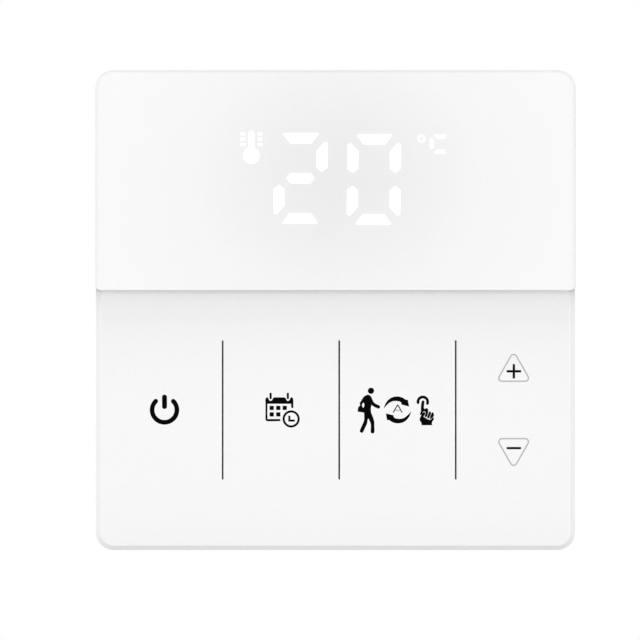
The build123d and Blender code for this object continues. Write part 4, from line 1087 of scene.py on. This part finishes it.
def light_up(settings, name, shapes):
    """Lights shapes that are drawn about the middle of the display."""
    placed = [[moved(outline, DISPLAY_X, DISPLAY_Z) for outline in outlines] for outlines in shapes]
    meshes = filled_meshes(placed, settings.thickness, front_place(WINDOW_FACE))
    add_piece(name, meshes, material_named("Lit bar"), FRONT)


class THERMOSTAT_OT_lit_figures(bpy.types.Operator):
    """Light the two figures of the room temperature"""

    bl_idname = "thermostat.lit_figures"
    bl_label = "Lit figures"
    bl_options = {"REGISTER", "UNDO"}

    def execute(self, context):
        settings = context.scene.thermostat_display
        light_material(settings)
        bars = figure_bars(settings.digit_width / MM, settings.digit_height / MM, settings.bar / MM)
        half_pitch = settings.digit_pitch / MM / 2
        tens = [[moved(bars[letter], -half_pitch, TENS_LIFT)] for letter in LIT_BARS[settings.tens]]
        light_up(settings, "lit_tens", tens)
        units = [[moved(bars[letter], half_pitch, UNITS_LIFT)] for letter in LIT_BARS[settings.units]]
        light_up(settings, "lit_units", units)
        return {"FINISHED"}


class THERMOSTAT_OT_lit_signs(bpy.types.Operator):
    """Light the thermometer and the sign for degrees"""

    bl_idname = "thermostat.lit_signs"
    bl_label = "Lit signs"
    bl_options = {"REGISTER", "UNDO"}

    def execute(self, context):
        settings = context.scene.thermostat_display
        bulb_x = -15.37
        bulb_z = 4.12
        start = asin(STEM_RADIUS / BULB_RADIUS)
        bulb = arc(bulb_x, bulb_z, BULB_RADIUS, pi / 2 + start, pi / 2 + tau - start, 40)
        stem = arc(bulb_x, bulb_z + STEM_HEIGHT - STEM_RADIUS, STEM_RADIUS, 0.0, pi, 12)
        thermometer = [[bulb + stem]]
        for row in range(3):
            z = 8.02 - 0.97 * row
            thermometer.append([box_outline(bulb_x - 1.5, z, 1.05, 0.6, 0.25)])
            thermometer.append([box_outline(bulb_x + 1.56, z, 0.94, 0.62, 0.25)])
        light_up(settings, "lit_thermometer", thermometer)
        ring = [circle(15.05, 7.13, 0.77, 32), circle(15.05, 7.13, 0.3, 24)]
        letter = [[rounded(bar, 0.16)] for bar in LETTER_BARS]
        light_up(settings, "lit_degrees", [ring, *letter])
        return {"FINISHED"}


CHIP_X, CHIP_Z = (-12.0, -12.0)
CHIP_HALF = 4.5
CHIP_PITCH = 0.8
DRIVER_X, DRIVER_Z = (12.0, -10.0)
DRIVER_HALF_WIDTH = 4.95
DRIVER_HALF_HEIGHT = 2.65
DRIVER_PITCH = 1.27
SOCKET_X, SOCKET_Z = (0.0, 14.0)
LAMP_PIN_FIRST = 6.0
LAMP_ROW_LEFT = DISPLAY_X - 15.0
LAMP_ROW_Z = 33.0
LAMP_PIN_Z = 13.6
SMALL_PART_SIZE = (1.0 * MM, 0.8 * MM, 0.6 * MM)
SMALL_PART_END_SIZE = (0.34 * MM, 0.84 * MM, 0.64 * MM)
SMALL_PART_END = 0.65
SILK_LINE = 0.18
SMALL_PART_ROWS = ((-22.0, -2.5, 4), (3.0, -21.0, 6))
SMALL_PART_PITCH = 3.0
SILK_THICKNESS = 0.03 * MM


def board_tracks(pitch):
    """The runs of the copper tracks on the rear of the display board, in millimetres on the face."""
    runs = []
    chip_right = CHIP_X + CHIP_HALF
    for number in range(6):
        z = CHIP_Z + (number - 2.5) * pitch
        x = chip_right + number * 0.3
        run = [(chip_right + 1.0, z), (x + 3.5, z), (x + 5.5, z + 2.0)]
        runs.append([*run, (DRIVER_X - DRIVER_HALF_WIDTH - 1.6, z + 2.0)])
    for number in range(4):
        x = CHIP_X + (number - 1.5) * pitch
        pin = SOCKET_X + (number - 1.5) * PIN_PITCH
        run = [(x, CHIP_Z + CHIP_HALF + 1.0), (x, 1.5 - number * 0.9), (pin - 3.0, 4.6 - number * 0.45)]
        runs.append([*run, (pin, 7.4 - number * 0.3), (pin, SOCKET_Z - 3.0)])
    for number, column in enumerate(KEY_COLUMNS[:3]):
        x = CHIP_X + (number - 1.0) * pitch
        drop = -21.5 - number * pitch
        way = 1.0 if column > x else -1.0
        run = [(x, CHIP_Z - CHIP_HALF - 1.0), (x, drop + 1.0), (x + way, drop), (column - way, drop)]
        runs.append([*run, (column, drop + 1.0), (column, KEY_ROW - TOUCH_RADIUS)])
    for number in range(5):
        x = DRIVER_X + (number - 2) * DRIVER_PITCH
        pin = LAMP_PIN_FIRST + number * PIN_PITCH
        rise = number * 0.6
        run = [(x, DRIVER_Z + DRIVER_HALF_HEIGHT + 1.2), (x, rise - 3.0)]
        runs.append([*run, (pin, rise + 1.0), (pin, LAMP_PIN_Z - 0.2)])
    low, high = corners("room_sensor")
    for number, side in enumerate((-0.65, 0.65)):
        x = (low.x + high.x) / 2 + side
        run = [(x, -33.0), (x, -24.0 - number), (x + 5.0 + number, -17.0 + number * 0.4)]
        runs.append([*run, (CHIP_X - CHIP_HALF - 1.0, -13.0 + number * 0.8)])
    return runs


class THERMOSTAT_OT_board_tracks(bpy.types.Operator):
    """Lay the tracks and the white outlines on the rear of the display board"""

    bl_idname = "thermostat.board_tracks"
    bl_label = "Board tracks"
    bl_options = {"REGISTER", "UNDO"}

    def execute(self, context):
        settings = context.scene.thermostat_board
        place = rear_place(BOARD_REAR)
        copper = material_named("Masked copper")
        runs = [[(-x, z) for x, z in run] for run in board_tracks(settings.track_pitch / MM)]
        sizes = {"Width": settings.track_width, "Thickness": settings.track_thickness}
        tracks = grown("Strip row", runs, sizes, copper, place)
        add_piece("board_tracks", [tracks], copper, FRONT)
        shapes = []
        chip_width = 2 * CHIP_HALF + 3.4
        driver_width = 2 * DRIVER_HALF_WIDTH + 1.0
        driver_height = 2 * DRIVER_HALF_HEIGHT + 3.4
        for x, z, width, height in (
            (-CHIP_X, CHIP_Z, chip_width, chip_width),
            (-DRIVER_X, DRIVER_Z, driver_width, driver_height),
            (-SOCKET_X, SOCKET_Z, 12.0, 6.8),
        ):
            inside = box_outline(x, z, width - 2 * SILK_LINE, height - 2 * SILK_LINE, 0.25)
            shapes.append([box_outline(x, z, width, height, 0.4), inside])
        low, high = corners("backup_cell")
        cell = (-(low.x + high.x) / 2, (low.z + high.z) / 2)
        cell_radius = (high.x - low.x) / 2
        shapes.append([circle(*cell, cell_radius + 0.9), circle(*cell, cell_radius + 0.7)])
        shapes.append([circle(-CHIP_X + CHIP_HALF + 1.2, CHIP_Z + CHIP_HALF + 2.3, 0.35, 20)])
        shapes.append([circle(-DRIVER_X + DRIVER_HALF_WIDTH + 1.0, DRIVER_Z + 2.9, 0.35, 20)])
        meshes = filled_meshes(shapes, SILK_THICKNESS, place)
        add_piece("board_outlines", meshes, material_named("Silk ink"), FRONT)
        return {"FINISHED"}


class THERMOSTAT_OT_board_parts(bpy.types.Operator):
    """Solder the chips' leads, the lamp module's joints and the small chip parts on the display board"""

    bl_idname = "thermostat.board_parts"
    bl_label = "Board parts"
    bl_options = {"REGISTER", "UNDO"}

    def execute(self, context):
        settings = context.scene.thermostat_board
        solder = material_named("Solder")
        place = rear_place(BOARD_REAR)
        self.solder_leads(settings, solder, place)
        joints = [(-(LAMP_ROW_LEFT + number * PIN_PITCH), LAMP_ROW_Z) for number in range(13)]
        joints += [(-(LAMP_PIN_FIRST + number * PIN_PITCH), LAMP_PIN_Z) for number in range(5)]
        joints += [(-(SOCKET_X + (number - 1.5) * PIN_PITCH), SOCKET_Z - 3.1) for number in range(4)]
        sizes = {"Radius": settings.joint_radius, "Height": settings.joint_height}
        domes = grown("Soldered joints", dots(joints), sizes, solder, place)
        add_piece("board_joints", [domes], solder, FRONT, smooth_faces=True)
        small = []
        for x, z, count in SMALL_PART_ROWS:
            small += [(-(x + SMALL_PART_PITCH * number), z) for number in range(count)]
        ends = [(x + side * SMALL_PART_END, z) for x, z in small for side in (-1, 1)]
        ceramic = material_named("Chip ceramic")
        bodies = grown("Small blocks", dots(small), {"Size": SMALL_PART_SIZE}, ceramic, place)
        add_piece("chip_parts", [bodies], ceramic, FRONT)
        caps = grown("Small blocks", dots(ends), {"Size": SMALL_PART_END_SIZE}, solder, place)
        add_piece("chip_part_ends", [caps], solder, FRONT)
        return {"FINISHED"}

    def solder_leads(self, settings, solder, place):
        """The rows of leads: one on each side of the square chip, and two on the driver."""
        reach = settings.lead_reach / MM
        lead = [(0.0, -0.2, 0.7), (0.0, 0.3 * reach, 0.7), (0.0, 0.5 * reach, 0.09), (0.0, reach, 0.09)]
        chip = (-CHIP_X, CHIP_Z, CHIP_HALF, 9, CHIP_PITCH)
        driver = (-DRIVER_X, DRIVER_Z, DRIVER_HALF_HEIGHT, 7, DRIVER_PITCH)
        rows = [(*chip, turn) for turn in (0, 90, 180, 270)] + [(*driver, turn) for turn in (0, 180)]
        leads = []
        for x, z, half, count, pitch, turn in rows:
            sizes = {"Width": settings.lead_width, "Thickness": settings.lead_thickness}
            row = {"Count": count, "Pitch": pitch * MM}
            start = Matrix.Translation((-(count - 1) * pitch / 2 * MM, half * MM, 0.0))
            spot = Matrix.Translation((x * MM, z * MM, 0.0))
            side = spot @ Matrix.Rotation(radians(turn), 4, "Z") @ start
            leads.append(grown("Strip row", [lead], {**sizes, **row}, solder, place @ side))
        add_piece("chip_leads", leads, solder, FRONT)


LABEL_THICKNESS = 0.05 * MM
LABEL_INK_THICKNESS = 0.02 * MM
LABEL_SHEET = (0.0, 0.4, 35.0, 15.0, 1.0)
LABEL_FIGURE_SIZE = 2.6
LABEL_FIGURE_Z = -3.3
WIRE_WIDTH = 0.26
WIRE_RISE = 4.4
SIGN_RADIUS = 1.4
POLE_RADIUS = 0.8


def pole_middle(number):
    """The middle of a terminal, in millimetres across, as seen from behind."""
    low, high = corners(f"clamp_screw_{number}")
    return -(low.x + high.x) / 2


def closed(outline):
    """An outline as a run that ends where it starts."""
    return [*outline, outline[0]]


def wiring_runs(rise):
    """The lines of the wiring drawing: a supply, a load and a sensor, each across two terminals."""
    poles = [pole_middle(number) for number in POLES]
    pairs = list(zip(poles[0::2], poles[1::2]))
    supply, load, sensor = [(first + second) / 2 for first, second in pairs]
    runs = []
    for pole in poles:
        runs.append(closed(circle(pole, 0.0, POLE_RADIUS, 24)))
        runs.append([(pole, POLE_RADIUS), (pole, rise)])
    for first, second in pairs:
        middle = (first + second) / 2
        runs.append([(second, rise), (middle - SIGN_RADIUS, rise)])
        runs.append([(middle + SIGN_RADIUS, rise), (first, rise)])
    runs.append(closed(circle(supply, rise, SIGN_RADIUS, 32)))
    steps = [step / 16 for step in range(17)]
    runs.append([(supply - 0.8 + 1.6 * step, rise + 0.45 * sin(tau * step)) for step in steps])
    for middle in (load, sensor):
        runs.append(closed(box_outline(middle, rise, 2 * SIGN_RADIUS, 1.3)))
    runs.append([(sensor - 1.9, rise - 1.3), (sensor - 1.1, rise - 1.3), (sensor + 1.3, rise + 1.4)])
    return runs


class THERMOSTAT_OT_wiring_label(bpy.types.Operator):
    """Stick the wiring drawing on the rear of the box, above the terminals"""

    bl_idname = "thermostat.wiring_label"
    bl_label = "Wiring label"
    bl_options = {"REGISTER", "UNDO"}

    def execute(self, context):
        meshes = filled_meshes([[box_outline(*LABEL_SHEET)]], LABEL_THICKNESS, rear_place(BOX_REAR))
        add_piece("wiring_label", meshes, material_named("Label film"), BASE)
        ink = material_named("Label ink")
        place = rear_place(BOX_REAR + LABEL_THICKNESS)
        sizes = {"Width": WIRE_WIDTH * MM, "Thickness": LABEL_INK_THICKNESS}
        lines = grown("Strip row", wiring_runs(WIRE_RISE), sizes, ink, place)
        add_piece("wiring_lines", [lines], ink, BASE)
        figures = figure_meshes(LABEL_FIGURE_SIZE, LABEL_INK_THICKNESS, LABEL_FIGURE_Z, place)
        add_piece("wiring_figures", figures, ink, BASE)
        return {"FINISHED"}


TERMINAL_FIGURE_SIZE = 2.4
TERMINAL_FIGURE_RELIEF = 0.06 * MM
TERMINAL_FIGURE_Z = -14.6
ARROW_RELIEF = 0.3 * MM
PIN_RING = {"Radius": 2.0 * MM, "Bead": 0.1 * MM}
DATE_MARK = (0.0, 16.0)
DATE_RELIEF = 0.07
PLATE_ARROW = [(0.0, 33.6), (2.6, 30.2), (1.0, 30.2), (1.0, 26.4), (-1.0, 26.4), (-1.0, 30.2), (-2.6, 30.2)]
DATE_POINTER = [(0.0, 1.0), (-0.5, 0.0), (-0.15, 0.0), (-0.15, -0.9), (0.15, -0.9), (0.15, 0.0), (0.5, 0.0)]


class THERMOSTAT_OT_moulded_marks(bpy.types.Operator):
    """Mould the terminal numbers, the upward arrow, the ejector rings and the date mark"""

    bl_idname = "thermostat.moulded_marks"
    bl_label = "Moulded marks"
    bl_options = {"REGISTER", "UNDO"}

    def execute(self, context):
        place = rear_place(TERMINAL_REAR)
        figures = figure_meshes(TERMINAL_FIGURE_SIZE, TERMINAL_FIGURE_RELIEF, TERMINAL_FIGURE_Z, place)
        add_piece("terminal_figures", figures, material_named("Silk ink"), BASE)
        plastic = material_named("Base satin")
        place = front_place(PLATE_FACE)
        arrow = filled_meshes([[rounded(PLATE_ARROW, 0.25)]], ARROW_RELIEF, place)
        add_piece("plate_arrow", arrow, plastic, BASE)
        pins = [(x, z) for x in (-24.0, 24.0) for z in (-34.0, 34.0)]
        rings = grown("Moulded rings", dots(pins), PIN_RING, plastic, place)
        add_piece("plate_pin_rings", [rings], plastic, BASE, smooth_faces=True)
        self.date_mark(plastic, rear_place(BOX_REAR))
        return {"FINISHED"}

    def date_mark(self, plastic, place):
        """The round date insert of the mould: two rings, twelve ticks and a pointer."""
        rings = []
        for radius in (1.3, 2.9):
            sizes = {"Radius": radius * MM, "Bead": DATE_RELIEF * MM}
            rings.append(grown("Moulded rings", dots([DATE_MARK]), sizes, plastic, place))
        add_piece("date_rings", rings, plastic, BASE, smooth_faces=True)
        size = {"Size": (0.34 * MM, 0.34 * MM, DATE_RELIEF * MM)}
        marks = [grown("Small blocks", dots(circle(*DATE_MARK, 2.1, 12)), size, plastic, place)]
        marks += filled_meshes([[moved(DATE_POINTER, *DATE_MARK)]], DATE_RELIEF * MM, place)
        add_piece("date_marks", marks, plastic, BASE)


SENSOR_WIDTH = 36.0
CLIP_START = 0.05
PAPER_GREY = (0.75, 0.75, 0.75, 1.0)
PAPER_LIFT = 0.32
LAMPS = (
    ("Front lamp", "front_power", 0.9, (0.0, -1.19, 0.38)),
    ("Left lamp", "left_power", 0.7, (-1.17, -0.43, 0.1)),
    ("Right lamp", "right_power", 0.7, (1.17, -0.43, 0.1)),
    ("Rear lamp", "rear_power", 0.9, (0.0, 1.18, 0.41)),
)


def aim(thing, place, target):
    """Puts a lamp or camera in its place, looking at a target."""
    thing.location = place
    thing.rotation_euler = (Vector(target) - Vector(place)).to_track_quat("-Z", "Y").to_euler()


def soft_lamp(name, watts, size, place):
    """A large soft lamp turned to the middle of the face. It shows neither directly nor in reflections."""
    lamp = bpy.data.lights.new(name, "AREA")
    lamp.energy = watts
    lamp.shape = "RECTANGLE"
    lamp.size = size
    lamp.size_y = size
    holder = bpy.data.objects.new(name, lamp)
    bpy.context.scene.collection.objects.link(holder)
    holder.visible_camera = False
    holder.visible_glossy = False
    aim(holder, place, (0.0, 0.0, 0.0))


def seen_directly(tree):
    """One for rays that show the surroundings: to the camera, in a reflection or through glass."""
    rays = tree.nodes.new("ShaderNodeLightPath").outputs
    either = calculate(tree, "MAXIMUM", rays["Is Camera Ray"], rays["Is Glossy Ray"])
    return calculate(tree, "MAXIMUM", either, rays["Is Transmission Ray"])


class THERMOSTAT_OT_studio(bpy.types.Operator):
    """Set the camera, the lamps, the white surroundings and the floor"""

    bl_idname = "thermostat.studio"
    bl_label = "Studio"
    bl_options = {"REGISTER", "UNDO"}

    def execute(self, context):
        scene = context.scene
        settings = scene.thermostat_studio
        scene.view_settings.view_transform = "Standard"
        lens = bpy.data.cameras.new("Camera")
        lens.lens = settings.lens
        lens.sensor_width = SENSOR_WIDTH
        lens.clip_start = CLIP_START
        camera = bpy.data.objects.new("Camera", lens)
        scene.collection.objects.link(camera)
        spot = Vector(settings.camera_place)
        aim(camera, spot, spot + Vector((0.0, 1.0, 0.0)))
        scene.camera = camera
        for name, setting, size, place in LAMPS:
            soft_lamp(name, getattr(settings, setting), size, place)
        self.light_surround(scene, settings)
        self.lay_floor(scene, settings)
        return {"FINISHED"}

    def light_surround(self, scene, settings):
        """Soft light from all round, which looks white."""
        world = bpy.data.worlds.new("Surround")
        scene.world = world
        world.use_nodes = True
        tree = world.node_tree
        soft = tree.nodes["Background"]
        set_inputs(tree, soft, {"Color": WHITE, "Strength": settings.surround})
        white = add_node(tree, "ShaderNodeBackground", {"Color": WHITE, "Strength": 1.0})
        mix = add_node(tree, "ShaderNodeMixShader", {0: seen_directly(tree), 1: soft, 2: white})
        set_inputs(tree, tree.nodes["World Output"], {"Surface": mix})

    def lay_floor(self, scene, settings):
        """A round white floor, out of the picture, that keeps the object's shadow and is clear from below."""
        mesh = bpy.data.meshes.new("floor")
        disc = bmesh.new()
        bmesh.ops.create_circle(disc, cap_ends=True, segments=96, radius=settings.floor_radius)
        bmesh.ops.translate(disc, verts=disc.verts, vec=(0.0, 0.0, settings.floor_drop))
        disc.to_mesh(mesh)
        disc.free()
        floor = bpy.data.objects.new("floor", mesh)
        scene.collection.objects.link(floor)
        paper, tree, shader = new_material("White paper")
        tree.nodes.remove(shader)
        matt = add_node(tree, "ShaderNodeBsdfDiffuse", {"Color": PAPER_GREY})
        lift = calculate(tree, "MULTIPLY", seen_directly(tree), PAPER_LIFT)
        glow = add_node(tree, "ShaderNodeEmission", {"Color": WHITE, "Strength": lift})
        both = add_node(tree, "ShaderNodeAddShader", {0: matt, 1: glow})
        sides = tree.nodes.new("ShaderNodeNewGeometry").outputs
        rays = tree.nodes.new("ShaderNodeLightPath").outputs
        from_below = calculate(tree, "MULTIPLY", sides["Backfacing"], rays["Is Camera Ray"])
        clear = tree.nodes.new("ShaderNodeBsdfTransparent")
        shown = add_node(tree, "ShaderNodeMixShader", {0: from_below, 1: both, 2: clear})
        set_inputs(tree, tree.nodes["Material Output"], {"Surface": shown})
        mesh.materials.append(paper)


STEPS = (
    THERMOSTAT_OT_studio,
    THERMOSTAT_OT_face_finishes,
    THERMOSTAT_OT_plastic_finishes,
    THERMOSTAT_OT_metal_finishes,
    THERMOSTAT_OT_key_dividers,
    THERMOSTAT_OT_power_mark,
    THERMOSTAT_OT_calendar_mark,
    THERMOSTAT_OT_mode_marks,
    THERMOSTAT_OT_step_marks,
    THERMOSTAT_OT_lit_figures,
    THERMOSTAT_OT_lit_signs,
    THERMOSTAT_OT_board_tracks,
    THERMOSTAT_OT_board_parts,
    THERMOSTAT_OT_wiring_label,
    THERMOSTAT_OT_moulded_marks,
)

SETTINGS = {
    "thermostat_print": ThermostatPrint,
    "thermostat_display": ThermostatDisplay,
    "thermostat_board": ThermostatBoard,
    "thermostat_finish": ThermostatFinish,
    "thermostat_studio": ThermostatStudio,
}


class THERMOSTAT_PT_build(bpy.types.Panel):
    """The steps of the thermostat, in order, with their settings"""

    bl_idname = "THERMOSTAT_PT_build"
    bl_label = "Wall Thermostat"
    bl_space_type = "VIEW_3D"
    bl_region_type = "UI"
    bl_category = "Thermostat"

    def draw(self, context):
        column = self.layout.column()
        for step in STEPS:
            column.operator(step.bl_idname)
        for name in SETTINGS:
            settings = getattr(context.scene, name)
            group = self.layout.box()
            for key in settings.__annotations__:
                group.prop(settings, key)


def register():
    """Registers the settings, the operators and the panel."""
    for name, settings in SETTINGS.items():
        bpy.utils.register_class(settings)
        setattr(bpy.types.Scene, name, PointerProperty(type=settings))
    for step in STEPS:
        bpy.utils.register_class(step)
    bpy.utils.register_class(THERMOSTAT_PT_build)


def unregister():
    """Takes the panel, the operators and the settings out again."""
    bpy.utils.unregister_class(THERMOSTAT_PT_build)
    for step in reversed(STEPS):
        bpy.utils.unregister_class(step)
    for name, settings in SETTINGS.items():
        delattr(bpy.types.Scene, name)
        bpy.utils.unregister_class(settings)


def main():
    """Builds the dressed thermostat."""
    register()
    bpy.ops.thermostat.studio()
    bpy.ops.thermostat.face_finishes()
    bpy.ops.thermostat.plastic_finishes()
    bpy.ops.thermostat.metal_finishes()
    bpy.ops.thermostat.key_dividers()
    bpy.ops.thermostat.power_mark()
    bpy.ops.thermostat.calendar_mark()
    bpy.ops.thermostat.mode_marks()
    bpy.ops.thermostat.step_marks()
    bpy.ops.thermostat.lit_figures()
    bpy.ops.thermostat.lit_signs()
    bpy.ops.thermostat.board_tracks()
    bpy.ops.thermostat.board_parts()
    bpy.ops.thermostat.wiring_label()
    bpy.ops.thermostat.moulded_marks()


if __name__ == "__main__":
    main()
